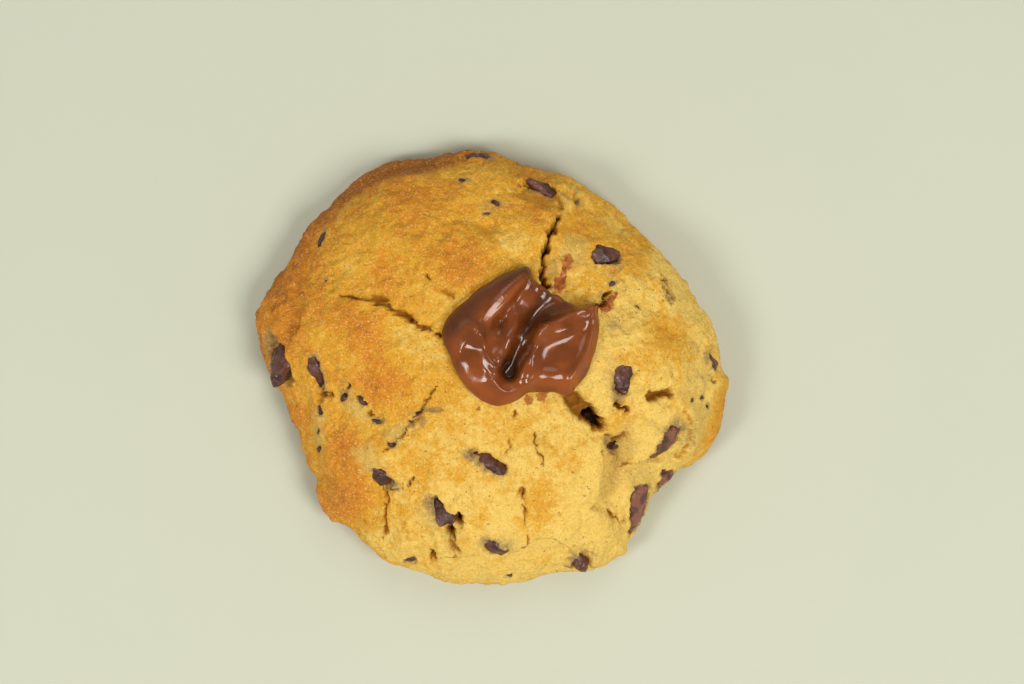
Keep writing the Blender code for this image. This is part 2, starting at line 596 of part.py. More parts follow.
def dome_height(x, y):
    """Height of the smooth dough under a point of the plan."""
    angles = np.degrees(np.arctan2(y, x)) % 360.0
    share = np.clip(np.hypot(x, y) / outline_radius(angles), 0.0, 1.0)
    rise = (1.0 - share ** DOME_FLATNESS) ** DOME_ROUNDNESS
    return WAIST_HEIGHT + rise * (DOUGH_HEIGHT - WAIST_HEIGHT)


def dollop_relief(x, y):
    """How the smears and the hole change the dollop's thickness."""
    change = np.zeros(x.shape)
    for line, fall_left, fall_right, start, end, sharpness in DOLLOP_RIDGES:
        distance, along, side = line_field(x, y, rounded_line(line))
        fall = np.where(side > 0.0, fall_left, fall_right)
        height = start + (end - start) * along
        change = change + height * np.exp(-(distance / fall) ** sharpness)
    for sx, sy, radius, height in DOLLOP_SWELLS:
        change = change + height * bell(np.hypot(x - sx, y - sy), radius)
    return change


def dough_floor(x, y):
    """Height of the dough that the dollop rests on."""
    points = np.stack([x, y, dome_height(x, y)], axis=1)
    return points[:, 2] + coarse_relief(points)


def dollop_mesh(grow=0.0):
    """The dollop as a closed mesh in millimetres, its underside a little below the dough's top."""
    reach, angles = square_to_disc(DOLLOP_GRID)
    turn = reach * math.pi / 2
    power = 2.0 / DOLLOP_SQUARENESS
    radius = (dollop_radius(angles) + grow) * np.sin(turn) ** power
    x = DOLLOP_CENTRE[0] + radius * np.cos(np.radians(angles))
    y = DOLLOP_CENTRE[1] + radius * np.sin(np.radians(angles))
    floor = dough_floor(x, y) - DOLLOP_SINK - grow
    thick = np.maximum(DOLLOP_THICKNESS + dollop_relief(x, y), DOLLOP_THINNEST) + DOLLOP_SINK + 2 * grow
    upper_z = floor + thick * (0.2 + 0.8 * np.abs(np.cos(turn)) ** power)
    flat = (dollop_radius(angles) + grow) * reach
    low_x = DOLLOP_CENTRE[0] + flat * np.cos(np.radians(angles))
    low_y = DOLLOP_CENTRE[1] + flat * np.sin(np.radians(angles))
    low_z = dough_floor(low_x, low_y) - DOLLOP_SINK - grow
    return closed_grid(DOLLOP_GRID, np.stack([x, y, upper_z], axis=1), np.stack([low_x, low_y, low_z], axis=1))


def fewer_triangles(item, wanted):
    """Adds a modifier that keeps about the wanted number of triangles, most where the form is busy."""
    now = sum(len(face.vertices) - 2 for face in item.data.polygons)
    modifier = item.modifiers.new("fewer triangles", "DECIMATE")
    modifier.decimate_type = "COLLAPSE"
    modifier.ratio = min(1.0, wanted / now)
    modifier.use_collapse_triangulate = True


def boolean_with(item, helpers, operation):
    """Adds a Boolean of the item with every helper object, gathered in a collection of their own."""
    group = bpy.data.collections.new(operation.lower())
    bpy.context.scene.collection.children.link(group)
    for helper in helpers:
        for holder in list(helper.users_collection):
            holder.objects.unlink(helper)
        group.objects.link(helper)
        helper.display_type = "WIRE"
        helper.hide_render = True
    modifier = item.modifiers.new(operation.lower(), "BOOLEAN")
    modifier.operation = operation
    modifier.operand_type = "COLLECTION"
    modifier.collection = group
    modifier.solver = "EXACT"
    return group


def apply_modifiers(item, groups):
    """Turns the item into its finished mesh and removes the helpers that shaped it."""
    graph = bpy.context.evaluated_depsgraph_get()
    finished = bpy.data.meshes.new_from_object(item.evaluated_get(graph))
    item.modifiers.clear()
    finished.name = item.name
    item.data = finished
    for group in groups:
        for helper in list(group.objects):
            bpy.data.objects.remove(helper, do_unlink=True)
        bpy.data.collections.remove(group)


def keep_largest_body(item):
    """Drops loose scraps: only the connected body with the most faces stays."""
    made = bmesh.new()
    made.from_mesh(item.data)
    unseen = set(made.faces)
    bodies = []
    while unseen:
        stack = [unseen.pop()]
        body = set(stack)
        while stack:
            for edge in stack.pop().edges:
                for face in edge.link_faces:
                    if face in unseen:
                        unseen.discard(face)
                        body.add(face)
                        stack.append(face)
        bodies.append(body)
    largest = max(bodies, key=len)
    scraps = [face for body in bodies if body is not largest for face in body]
    bmesh.ops.delete(made, geom=scraps, context="FACES")
    bmesh.ops.triangulate(made, faces=made.faces[:])
    made.to_mesh(item.data)
    made.free()


def centre_on_origin(pieces):
    """Moves every piece together so that the origin is in the middle of the underside."""
    places = np.array([vertex.co for piece in pieces for vertex in piece.data.vertices])
    low, high = places.min(axis=0), places.max(axis=0)
    move = Matrix.Translation((-(low[0] + high[0]) / 2, -(low[1] + high[1]) / 2, -low[2]))
    for piece in pieces:
        piece.data.transform(move)
    print("moved by", [round(value / MM, 3) for value in move.translation], "mm")


def finish(item, material_made):
    """Gives a piece its material and smooth shading."""
    item.data.materials.clear()
    item.data.materials.append(material_made)
    item.data.shade_smooth()
    item.data.set_sharp_from_angle(angle=math.radians(50))


def build():
    """Makes every piece of the cookie."""
    clear_scene()
    fine_dough = dough_mesh()
    tree = BVHTree.FromPolygons([v.co for v in fine_dough.vertices],
                                [tuple(p.vertices) for p in fine_dough.polygons])

    chunk_look = material("chocolate_chunk")
    pieces = []
    cutters = []
    for seed, (name, x, y, length, width, heading, thickness, rise, taper, bend) in enumerate(CHUNKS):
        size = (length + BLOCK_MARGIN, width + BLOCK_MARGIN, thickness)
        form = (taper, bend, seed, BLOCK_CORNERS)
        chunk = placed_block(name, tree, (x, y, heading), size, rise, form)
        finish(chunk, chunk_look)
        pieces.append(chunk)
        cutters.append(placed_block("pocket", tree, (x, y, heading), size, rise, form, GAP))

    chips = []
    for seed, (x, y, length, width, heading) in enumerate(CHIPS):
        form = (0.0, 0.0, FIRST_CHIP_SEED + seed, CHIP_CORNERS)
        chips.append(placed_block("chip", tree, (x, y, heading), (length, width, CHIP_THICKNESS), CHIP_RISE, form))

    dollop = as_object("chocolate_dollop", dollop_mesh(), MM)
    fewer_triangles(dollop, DOLLOP_TRIANGLES)
    apply_modifiers(dollop, [])
    finish(dollop, material("milk_chocolate"))
    seat = as_object("seat", dollop_mesh(GAP), MM)
    fewer_triangles(seat, SEAT_TRIANGLES)
    cutters.append(seat)

    cookie = as_object("cookie_dough", fine_dough, MM)
    fewer_triangles(cookie, DOUGH_TRIANGLES)
    fused = boolean_with(cookie, chips, "UNION")
    pockets = boolean_with(cookie, cutters, "DIFFERENCE")
    apply_modifiers(cookie, [fused, pockets])
    keep_largest_body(cookie)
    finish(cookie, material("baked_dough"))
    pieces += [dollop, cookie]
    centre_on_origin(pieces)


build()
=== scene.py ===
# %% [markdown]
# # A chocolate chunk cookie with a dollop of milk chocolate
# The real thing is a ball of dough that slumped in the oven into a thick dome. Its top cracked as it rose,
# chopped chocolate shows in the cracks, and a spoon left a glossy smear of milk chocolate in the middle.
# The packed solids already hold the form. This lesson puts the fine surface over them: crumb, cracks
# with ragged lips, broken chocolate and the folds of the smear, each with its own finish.

# %% Start from the packed solids
import math
import random

import bmesh
import bpy
import numpy as np
from mathutils import Matrix, Vector, noise
from mathutils.bvhtree import BVHTree


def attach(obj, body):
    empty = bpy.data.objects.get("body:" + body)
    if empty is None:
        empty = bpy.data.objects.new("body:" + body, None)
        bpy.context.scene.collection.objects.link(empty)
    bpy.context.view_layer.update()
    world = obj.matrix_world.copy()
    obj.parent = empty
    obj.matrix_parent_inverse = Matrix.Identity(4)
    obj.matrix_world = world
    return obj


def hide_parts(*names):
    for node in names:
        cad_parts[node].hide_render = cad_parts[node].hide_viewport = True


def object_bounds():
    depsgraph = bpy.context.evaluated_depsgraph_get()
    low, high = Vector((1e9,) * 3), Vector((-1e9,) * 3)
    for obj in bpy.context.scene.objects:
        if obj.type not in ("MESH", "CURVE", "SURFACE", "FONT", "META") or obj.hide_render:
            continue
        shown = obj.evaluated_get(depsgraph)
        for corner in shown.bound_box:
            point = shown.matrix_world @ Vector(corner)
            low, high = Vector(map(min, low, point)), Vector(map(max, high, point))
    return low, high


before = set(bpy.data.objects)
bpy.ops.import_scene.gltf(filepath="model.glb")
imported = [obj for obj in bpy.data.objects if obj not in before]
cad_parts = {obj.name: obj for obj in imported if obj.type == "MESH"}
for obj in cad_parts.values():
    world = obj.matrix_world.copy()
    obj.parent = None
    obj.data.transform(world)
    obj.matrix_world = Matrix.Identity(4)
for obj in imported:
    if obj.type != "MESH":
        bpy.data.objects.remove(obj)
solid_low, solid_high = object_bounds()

MM = 0.001
ROOT = "root"
print("solids:", sorted(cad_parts))

# %% [markdown]
# ## Soft building blocks
# Everything on a cookie is a soft bump, a hollow or a line. So a few small functions make all of it: a bell
# for anything round, a step for anything that starts somewhere, a measure of how far a point lies from a
# drawn line, and smooth noise for what is only uneven. The same could be sculpted by hand, but a number is
# easier to correct against a photograph than a brush stroke. They work on whole arrays of points at once,
# because the dough has nearly a hundred thousand of them.


# %% Bells, steps and noise
def bell(distance, reach):
    """One at no distance, falling smoothly to nothing beyond the reach."""
    return np.exp(-(distance / reach) ** 2)


def smooth_step(low, high, values):
    """Rises from nothing at low to one at high."""
    share = np.clip((values - low) / (high - low), 0.0, 1.0)
    return share * share * (3.0 - 2.0 * share)


def noise_at(points, size, octaves=1, shift=0.0):
    """Smooth noise between about -1 and 1 whose bumps are as wide as the size, unlike at every shift."""
    return np.array([noise.fractal(Vector(p) / size, 1.0, 2.0, octaves) for p in points + shift])


def patchy(points, size, octaves, shift, middle, swing, low, high):
    """Noise about a middle, held between two ends: where something is weak or strong."""
    return np.clip(middle + swing * noise_at(points, size, octaves, shift), low, high)


def fading(edge, start, end):
    """One inside an edge, falling to nothing between two distances from it."""
    return 1.0 - smooth_step(start, end, edge)


def angle_between(angles, centre):
    """Signed degrees from the centre to each angle, the short way round."""
    return (angles - centre + 180.0) % 360.0 - 180.0


print("a bell at one reach:", round(float(bell(1.0, 1.0)), 3))


# %% How far a point lies from a drawn line
CORNER_CUT = 0.25


def between(start, end, share):
    """The place a share of the way from one point of the plan to another."""
    return tuple((1.0 - share) * a + share * b for a, b in zip(start, end))


def rounded_line(points, rounds=2):
    """The line with its corners cut, so that it bends instead of breaking."""
    for _ in range(rounds):
        cut = [points[0]]
        for start, end in zip(points, points[1:]):
            cut.append(between(start, end, CORNER_CUT))
            cut.append(between(start, end, 1.0 - CORNER_CUT))
        points = cut + [points[-1]]
    return points


def line_field(x, y, points):
    """Distance to a line of points, the share along it, and +1 on its left or -1 on its right."""
    nearest = np.full(x.shape, 1e9)
    along = np.zeros(x.shape)
    side = np.ones(x.shape)
    lengths = [math.dist(a, b) for a, b in zip(points, points[1:])]
    total = sum(lengths)
    passed = 0.0
    for (ax, ay), (bx, by), length in zip(points, points[1:], lengths):
        dx, dy = (bx - ax) / length, (by - ay) / length
        run = np.clip((x - ax) * dx + (y - ay) * dy, 0.0, length)
        distance = np.hypot(x - ax - run * dx, y - ay - run * dy)
        turn = dx * (y - ay) - dy * (x - ax)
        closer = distance < nearest
        nearest = np.where(closer, distance, nearest)
        along = np.where(closer, (passed + run) / total, along)
        side = np.where(closer, np.where(turn >= 0.0, 1.0, -1.0), side)
        passed += length
    return nearest, along, side


def tapered(along, share):
    """One along the middle of a line, falling to nothing over a share of its length at either end."""
    return smooth_step(0.0, share, along) * smooth_step(0.0, share, 1.0 - along)


print("points of a bend after two cuts:", len(rounded_line(((0.0, 0.0), (1.0, 0.0), (1.0, 1.0)))))


# %% [markdown]
# ## The outline and the dome
# From above the cookie is a circle with lobes: the dough slid further on some sides than on others. From the
# side it is a flat dome with a rounded foot. A pressed ball could be pulled to this shape, but its edge would
# be hard to place. So one function gives the radius at each angle, and one gives the half section. Together
# they place every point of a round grid, which has no pole to pinch the crumb.

# %% Driving sizes of the dough, in millimetres
BODY_RADIUS = 41.1
DOUGH_HEIGHT = 23.6
WAIST_HEIGHT = 5.2
SKIRT_WAIST_HEIGHT = 3.0
FOOT_SHARE = 0.93
DOME_FLATNESS = 2.5
DOME_ROUNDNESS = 0.6
PLAN_MOVE = (-0.435, 0.157)

# Lobes and notches of the outline: angle in degrees, height, reach in degrees
OUTLINE_LOBES = (
    (2, 2.2, 10),
    (9, 1.1, 7),
    (50, -3.1, 23),
    (74, -1.9, 8),
    (80, -1.2, 9),
    (87, 0.7, 3),
    (108, -1.0, 8),
    (130, 2.9, 25),
    (136, -0.6, 3),
    (155, 0.6, 4),
    (168, 4.4, 11),
    (188, -1.0, 5),
    (203, -2.6, 13),
    (214, -1.5, 6),
    (221, 1.3, 8),
    (229, -1.1, 8),
    (244, 0.8, 3),
    (264, 1.3, 15),
    (267, -0.7, 7),
    (298, -0.6, 5),
    (300, 2.7, 9),
    (306, 1.0, 1.8),
    (323, -1.4, 8),
    (346, 3.9, 12),
    (356, 1.0, 2.5),
)

# The thin browned skirt at the back left: angle and reach in degrees, start and ledge as shares of the
# radius, and how much lower it lies
SKIRT_ANGLE = 116
SKIRT_REACH = 21
SKIRT_START = 0.93
SKIRT_LEDGE = 0.03
SKIRT_DROP = 0.55


# %% The outline and the half section
def outline_radius(angles):
    """Distance from the middle to the outline of the cookie at each angle."""
    radius = np.full(angles.shape, BODY_RADIUS)
    for centre, height, reach in OUTLINE_LOBES:
        radius = radius + height * bell(angle_between(angles, centre), reach)
    return radius


def dome_profile(steps=400):
    """The half section from the top middle to the foot, as arrays against the share of its length."""
    across = 1.0 - (1.0 - np.linspace(0.0, 1.0, steps)) ** 2
    rise = (1.0 - across ** DOME_FLATNESS) ** DOME_ROUNDNESS
    turn = np.linspace(0.0, math.pi / 2, steps // 4)[1:]
    under = 1.0 - (1.0 - FOOT_SHARE) * (1.0 - np.cos(turn))
    drop = 1.0 - np.sin(turn)
    share_out = np.concatenate([across, under])
    share_up = np.concatenate([rise, np.zeros(turn.shape)])
    share_waist = np.concatenate([np.ones(steps), drop])
    height = share_waist * WAIST_HEIGHT + share_up * (DOUGH_HEIGHT - WAIST_HEIGHT)
    length = np.hypot(np.diff(share_out * BODY_RADIUS), np.diff(height))
    run = np.concatenate([[0.0], np.cumsum(length)])
    return run / run[-1], share_out, share_up, share_waist


def smooth_dough(reach, angles):
    """Places on the dough without its cracks, and how far each is above the foot."""
    length, share_out, share_up, share_waist = dome_profile()
    across = np.interp(reach, length, share_out)
    rise = np.interp(reach, length, share_up)
    foot = np.interp(reach, length, share_waist)
    in_skirt = bell(angle_between(angles, SKIRT_ANGLE), SKIRT_REACH)
    waist = WAIST_HEIGHT + (SKIRT_WAIST_HEIGHT - WAIST_HEIGHT) * in_skirt
    radius = outline_radius(angles) * across
    x = radius * np.cos(np.radians(angles))
    y = radius * np.sin(np.radians(angles))
    z = foot * waist + rise * (DOUGH_HEIGHT - waist)
    ledge = smooth_step(SKIRT_START - SKIRT_LEDGE, SKIRT_START + SKIRT_LEDGE, across) * in_skirt
    z = z - ledge * SKIRT_DROP * np.maximum(z - waist, 0.0)
    return np.stack([x, y, z], axis=1), foot


def dome_height(x, y):
    """Height of the smooth dough under a point of the plan."""
    angles = np.degrees(np.arctan2(y, x)) % 360.0
    share = np.clip(np.hypot(x, y) / outline_radius(angles), 0.0, 1.0)
    rise = (1.0 - share ** DOME_FLATNESS) ** DOME_ROUNDNESS
    return WAIST_HEIGHT + rise * (DOUGH_HEIGHT - WAIST_HEIGHT)


way_round = np.arange(360.0)
outline_x = outline_radius(way_round) * np.cos(np.radians(way_round))
print("the outline is", round(float(np.ptp(outline_x)), 1), "mm wide")


# %% [markdown]
# ## Mounds, cracks and pits
# The dough rose in lobes that tore apart. Each crack is drawn as a short line on the plan, with a width, a
# depth, and how much the dough stands up on either side. Cutters could make the same cracks, but they leave
# clean edges. Here noise shifts the place at which the line is read, so a straight stretch comes out ragged,
# as torn dough is.

# %% Swellings and hollows: x, y, radius, height
MOUNDS = (
    (-4.5, 19.3, 8.0, 0.9),
    (8.6, 28.4, 6.0, 1.7),
    (-19.1, -0.9, 9.0, 0.9),
    (-27.0, -19.5, 7.0, 1.4),
    (11.2, -18.0, 9.0, 0.8),
    (30.7, 0.8, 5.5, 1.3),
    (28.4, -10.4, 5.0, 0.9),
    (20.6, -2.2, 4.5, 0.8),
    (26.5, 14.3, 8.5, 0.7),
    (-16.6, 28.3, 9.0, 0.6),
    (-29.5, 6.9, 6.0, 0.8),
    (-3.0, -24.4, 8.0, 0.6),
    (38.0, -12.0, 5.0, 0.8),
    (-1.0, 28.6, 4.5, -1.0),
    (17.0, 16.0, 4.5, -0.8),
    (23.6, -17.4, 3.5, -1.3),
    (-28.5, -7.5, 4.5, -0.7),
    (-14.0, -17.0, 5.0, -0.6),
    (35.0, -17.5, 4.0, -0.8),
)
print("mounds:", len(MOUNDS))

# %% Cracks and folds: points, half width, depth, lift on the left, lift on the right
CRACKS = (
    (((-27.8, 13.4), (-24.6, 12.6), (-21.2, 12.2), (-17.5, 10.7), (-13.4, 8.0), (-9.2, 6.1)),
     0.45, 1.1, -0.5, 0.6),
    (((13.0, 28.0), (11.4, 24.8), (10.4, 22.9), (9.7, 18.6), (9.9, 16.4), (10.4, 14.0)),
     0.5, 3.0, -0.6, 0.9),
    (((5.0, 34.4), (8.7, 33.4), (11.3, 32.8), (13.3, 30.9), (13.8, 28.8)), 0.35, 0.5, 0.9, -0.9),
    (((-9.4, -2.6), (-10.6, -4.3), (-11.9, -6.2), (-13.2, -9.1), (-16.2, -12.6), (-20.9, -16.0)),
     0.3, 1.0, -0.35, 0.5),
    (((-23.9, -5.0), (-23.4, -7.1), (-21.8, -9.0), (-20.0, -10.2)), 0.3, 1.2, -0.2, 0.3),
    (((-14.2, -20.4), (-14.8, -21.9), (-17.1, -22.7), (-19.4, -23.3)), 0.3, 1.3, -0.3, 0.2),
    (((-19.4, -23.3), (-19.2, -26.4), (-20.3, -30.3), (-19.9, -32.3)), 0.35, 1.2, -0.3, 0.5),
    (((-32.3, -5.0), (-29.4, -5.0)), 0.3, 1.4, 0.0, 0.0),
    (((22.4, -6.4), (24.6, -7.0), (26.0, -8.8)), 0.45, 2.0, 0.1, -0.1),
    (((21.5, -12.1), (21.1, -14.9), (22.1, -17.7), (20.3, -22.4), (18.6, -26.4)), 0.4, 1.2, -1.8, 1.1),
    (((25.0, -19.3), (29.1, -16.9), (31.0, -15.1), (32.8, -11.0)), 0.4, 0.9, 1.1, -1.0),
    (((-8.0, -35.4), (1.9, -35.0), (6.0, -33.8), (9.8, -31.4), (13.5, -33.0), (18.4, -33.4)),
     0.4, 0.5, 0.7, -1.0),
    (((4.1, -13.5), (2.9, -15.7)), 0.3, 0.6, 0.1, -0.1),
    (((8.0, -11.0), (8.6, -13.5), (9.3, -15.7), (9.9, -18.4)), 0.3, 0.9, 0.2, 0.0),
    (((5.9, -22.0), (6.6, -26.2), (6.7, -29.6), (7.2, -33.1)), 0.35, 0.7, 0.15, -0.15),
    (((31.2, 18.2), (33.2, 14.8), (34.3, 11.6)), 0.3, 1.1, -0.4, 0.3),
    (((22.6, 14.4), (21.1, 12.4), (20.2, 10.4)), 0.4, 1.6, 0.3, -0.2),
    (((-11.4, 16.4), (-10.5, 15.5)), 0.3, 1.0, 0.0, 0.0),
    (((22.4, -26.8), (24.7, -29.0), (26.2, -29.7)), 0.3, 1.4, 0.1, 0.1),
    (((16.8, -35.0), (17.8, -36.6), (20.0, -38.2)), 0.3, 1.4, 0.1, 0.1),
    (((36.0, -7.6), (38.0, -11.5), (37.0, -16.5), (34.5, -18.6)), 0.4, 0.5, 0.5, -0.7),
    (((-36.0, 16.5), (-34.5, 11.0), (-36.0, 7.2), (-37.0, 4.0)), 0.4, 0.5, 0.5, -0.6),
)
# How far a lip slopes back, the share of the length over which an end closes, and where the wall falls
CRACK_REACH = 4.2
CRACK_TAPER = 0.12
CRACK_WALL = (0.3, 1.2)
# Depth at which a crack's inside gets its full painted shade; shallower cracks get less.
CRACK_DARK_DEPTH = 3.0
print("cracks:", len(CRACKS))

# %% Valleys between the lobes: points, reach, depth
VALLEYS = (
    (((25.5, -12.0), (24.2, -16.0), (23.2, -20.0), (21.4, -25.0)), 2.2, 1.5),
    (((-29.0, -8.0), (-24.0, -10.5), (-17.5, -12.0)), 2.6, 0.7),
    (((-27.6, -30.0), (-22.0, -26.5), (-20.0, -22.0)), 2.2, 0.7),
    (((-33.5, -20.0), (-30.0, -21.0), (-27.0, -20.5)), 1.8, 0.6),
    (((-36.0, -4.0), (-33.5, -12.0), (-31.5, -20.0)), 1.6, 0.7),
    (((-13.0, -37.5), (-11.0, -33.0), (-12.0, -29.0)), 2.0, 0.6),
    (((-8.0, 31.0), (-2.0, 27.0), (3.0, 25.5)), 2.4, 0.8),
    (((14.5, 29.0), (17.0, 23.5), (14.0, 18.0)), 2.0, 0.7),
    (((22.0, -7.5), (27.0, -9.0), (30.5, -8.0)), 1.6, 0.8),
    (((28.0, 16.0), (30.5, 9.0), (36.0, 5.0)), 2.2, 0.6),
    (((-27.0, 22.0), (-22.0, 20.0), (-14.0, 17.5)), 2.2, 0.4),
    (((36.5, 9.0), (38.5, 2.0), (37.0, -4.0)), 1.8, 0.7),
)
print("valleys:", len(VALLEYS))

# %% Torn hollows: x, y, length, width, heading, depth, and how dark their inside is painted as shade
HOLLOWS = (
    (-20.2, 13.0, 3.6, 1.7, -18, 1.5, 0.45),
    (-15.5, 9.3, 3.6, 1.3, -34, 1.4, 0.5),
    (-12.6, 7.1, 2.8, 1.1, -28, 1.5, 0.55),
    (-9.2, 6.1, 1.2, 0.8, -10, 2.6, 0.95),
    (-7.7, 13.5, 3.2, 1.1, -35, 1.1, 0.5),
    (-14.4, 13.1, 1.2, 0.8, 0, 1.0, 0.45),
    (10.6, 15.8, 2.6, 1.7, -60, 3.2, 0.9),
    (11.4, 24.4, 2.4, 0.9, 62, 3.0, 0.95),
    (16.6, -7.2, 6.6, 3.4, -42, 3.4, 0.68),
    (19.4, -9.9, 4.4, 3.1, -42, 5.5, 1.0),
    (23.4, -6.8, 2.4, 1.4, -20, 2.4, 0.75),
    (31.4, -4.9, 5.8, 2.0, 6, 3.0, 0.66),
    (-6.0, -28.2, 1.9, 2.6, 8, 4.5, 0.95),
    (-7.2, -30.8, 1.9, 2.8, 4, 4.5, 0.9),
    (-6.6, -33.4, 2.6, 2.2, 0, 1.6, 0.45),
    (-10.8, -35.6, 1.9, 2.4, 20, 2.4, 0.75),
    (5.0, -8.3, 1.2, 1.6, 10, 1.5, 0.5),
    (6.0, -22.8, 0.9, 1.6, 0, 1.4, 0.55),
    (6.6, -26.2, 0.8, 1.0, 0, 1.2, 0.5),
    (24.2, -13.6, 3.2, 1.8, 40, 1.8, 0.5),
    (33.3, -20.6, 1.4, 1.6, 0, 4.0, 1),
    (42.4, -2.4, 1.4, 1.0, 20, 2.4, 0.85),
    (-36.3, 7.5, 1.6, 1.2, 60, 1.5, 0.8),
    (-36.3, 14.1, 1.0, 0.8, 30, 1.2, 0.7),
    (-40.6, 11.4, 2.4, 1.0, 40, 1.0, 0.6),
    (-11.0, 37.8, 1.6, 0.8, 20, 0.8, 0.5),
)
print("hollows:", len(HOLLOWS))


# %% The dollop's outline: angle in degrees, distance from its centre
DOLLOP_CENTRE = (6.4, 5.8)
DOLLOP_OUTLINE = (
    (11, 14.1), (19, 14.3), (23, 15.2), (26, 14.4), (28, 11.3), (40, 9.9), (50, 9.8), (56, 9.2), (73, 9.9),
    (81, 10.4), (85, 12.6), (88, 12.9), (98, 12.3), (110, 11.9), (124, 11.7), (136, 12.1), (147, 12.3),
    (156, 13.2), (167, 14.5), (178, 15.2), (184, 14.9), (194, 14.1), (216, 14.1), (238, 14.2),
    (248, 13.9), (256, 13.0), (266, 11.6), (273, 10.4), (286, 10.7), (299, 11.8), (303, 13.1),
    (308, 14.0), (315, 13.4), (329, 13.5), (341, 13.2), (356, 13.5),
)


# %% Where the dollop covers the dough
def dollop_radius(angles):
    """Distance from the dollop's centre to its outline at each angle."""
    turns = np.array([a for a, _ in DOLLOP_OUTLINE], dtype=float)
    sizes = np.array([r for _, r in DOLLOP_OUTLINE], dtype=float)
    turns = np.concatenate([turns - 360.0, turns, turns + 360.0])
    sizes = np.concatenate([sizes, sizes, sizes])
    spread = np.linspace(-2.0, 2.0, 5)
    return np.mean([np.interp(angles + s, turns, sizes) for s in spread], axis=0)


def beside_dollop(x, y):
    """Distance on the plan to the dollop's outline, negative under the dollop."""
    dx, dy = x - DOLLOP_CENTRE[0], y - DOLLOP_CENTRE[1]
    return np.hypot(dx, dy) - dollop_radius(np.degrees(np.arctan2(dy, dx)) % 360.0)


# %% Bumps of the dough, in millimetres
WIDE_BUMP = 11.0
WIDE_BUMP_HEIGHT = 0.9
VALLEY_TAPER = 0.25
# Finer bumps: size, octaves, height, shift
FINE_BUMPS = (
    (4.5, 2, 0.55, 0.0),
    (1.6, 1, 0.25, 0.0),
    (0.8, 2, 0.15, 7.0),
)
# Clumps of crumb: their size and height, the level of the dough between them, and the size of their patches
CLUMP = 2.3
CLUMP_HEIGHT = 0.7
CLUMP_MIDDLE = 0.25
CLUMP_PATCH = 9.0
# Waves and ripples that shift a drawn line, so that it comes out torn
TEAR_WAVE = 2.6
TEAR_WAVE_HEIGHT = 0.7
TEAR_RIPPLE = 1.0
TEAR_RIPPLE_HEIGHT = 0.5
# Distances from the edge of a hollow between which its wall falls, and where its floor is reached
HOLLOW_WALL = (-0.45, 0.1)
HOLLOW_FLOOR = -1.2
# Distances from the dollop's edge between which the relief sets in
DOLLOP_EDGE_EASE = (-1.0, 0.4)
print("bumps from", FINE_BUMPS[-1][0], "to", WIDE_BUMP, "mm wide")


# %% The relief of the dough
def coarse_relief(points):
    """The mounds and the wide unevenness, which the dollop's underside follows too."""
    x, y = points[:, 0], points[:, 1]
    relief = WIDE_BUMP_HEIGHT * noise_at(points, WIDE_BUMP)
    for mx, my, radius, height in MOUNDS:
        relief = relief + height * bell(np.hypot(x - mx, y - my), radius)
    for line, reach, depth in VALLEYS:
        distance, along, _ = line_field(x, y, rounded_line(line))
        relief = relief - depth * (0.3 + 0.7 * tapered(along, VALLEY_TAPER)) * bell(distance, reach)
    return relief


def ragged(points):
    """Plan places shifted by noise, so that a drawn line comes out torn."""
    shifted = []
    for axis in range(2):
        wave = TEAR_WAVE_HEIGHT * noise_at(points, TEAR_WAVE, 2, 40.0 * (axis + 1))
        ripple = TEAR_RIPPLE_HEIGHT * noise_at(points, TEAR_RIPPLE, 2, 40.0 * axis + 20.0)
        shifted.append(points[:, axis] + wave + ripple)
    return shifted


BLOCK_ROUNDING = 0.42


def flat_block_distance(x, y, middle_x, middle_y, length, width, heading):
    """Distance on the plan to the edge of a block with round ends, negative inside."""
    turn = math.radians(heading)
    along = np.abs((x - middle_x) * math.cos(turn) + (y - middle_y) * math.sin(turn))
    across = np.abs((y - middle_y) * math.cos(turn) - (x - middle_x) * math.sin(turn))
    corner = BLOCK_ROUNDING * min(length, width)
    over_x = along - (length / 2 - corner)
    over_y = across - (width / 2 - corner)
    outside = np.hypot(np.maximum(over_x, 0.0), np.maximum(over_y, 0.0))
    return outside + np.minimum(np.maximum(over_x, over_y), 0.0) - corner


def dough_relief(points):
    """How far the dough stands out of its smooth form, and how much tint and painted shade a tear gives it.
    """
    relief = np.zeros(len(points))
    for size, octaves, height, shift in FINE_BUMPS:
        relief = relief + height * noise_at(points, size, octaves, shift)
    clumps = patchy(points, CLUMP_PATCH, 1, 55.0, 0.6, 0.7, 0.25, 1.1)
    relief = relief + CLUMP_HEIGHT * clumps * (CLUMP_MIDDLE - np.abs(noise_at(points, CLUMP, 2, 11.0)))
    x, y = ragged(points)
    uneven = patchy(points, 2.0, 2, 33.0, 0.85, 0.9, 0.25, 1.5)
    torn = np.zeros(x.shape)
    for line, half_width, depth, left, right in CRACKS:
        distance, along, side = line_field(x, y, rounded_line(line))
        ends = tapered(along, CRACK_TAPER)
        lift = np.where(side > 0.0, left, right) * smooth_step(0.0, 0.5, distance)
        relief = relief + lift * ends * bell(distance, CRACK_REACH)
        opening = fading(distance / (half_width * uneven * (0.3 + 0.7 * ends)), *CRACK_WALL)
        relief = relief - depth * opening * (0.4 + 0.6 * ends)
        # The colour inside a tear: moist torn dough, and painted shade that grows with the depth.
        torn = np.maximum(torn, opening * min(1.0, 0.25 + depth / CRACK_DARK_DEPTH))
    for place_x, place_y, length, width, heading, depth, painted_shade in HOLLOWS:
        edge = flat_block_distance(x, y, place_x, place_y, length, width, heading)
        opening = fading(edge, *HOLLOW_WALL)
        relief = relief - depth * opening * (0.7 + 0.3 * smooth_step(0.0, HOLLOW_FLOOR, edge))
        torn = np.maximum(torn, opening * painted_shade)
    uncovered = smooth_step(*DOLLOP_EDGE_EASE, beside_dollop(points[:, 0], points[:, 1]))
    return coarse_relief(points) + relief * uncovered, torn


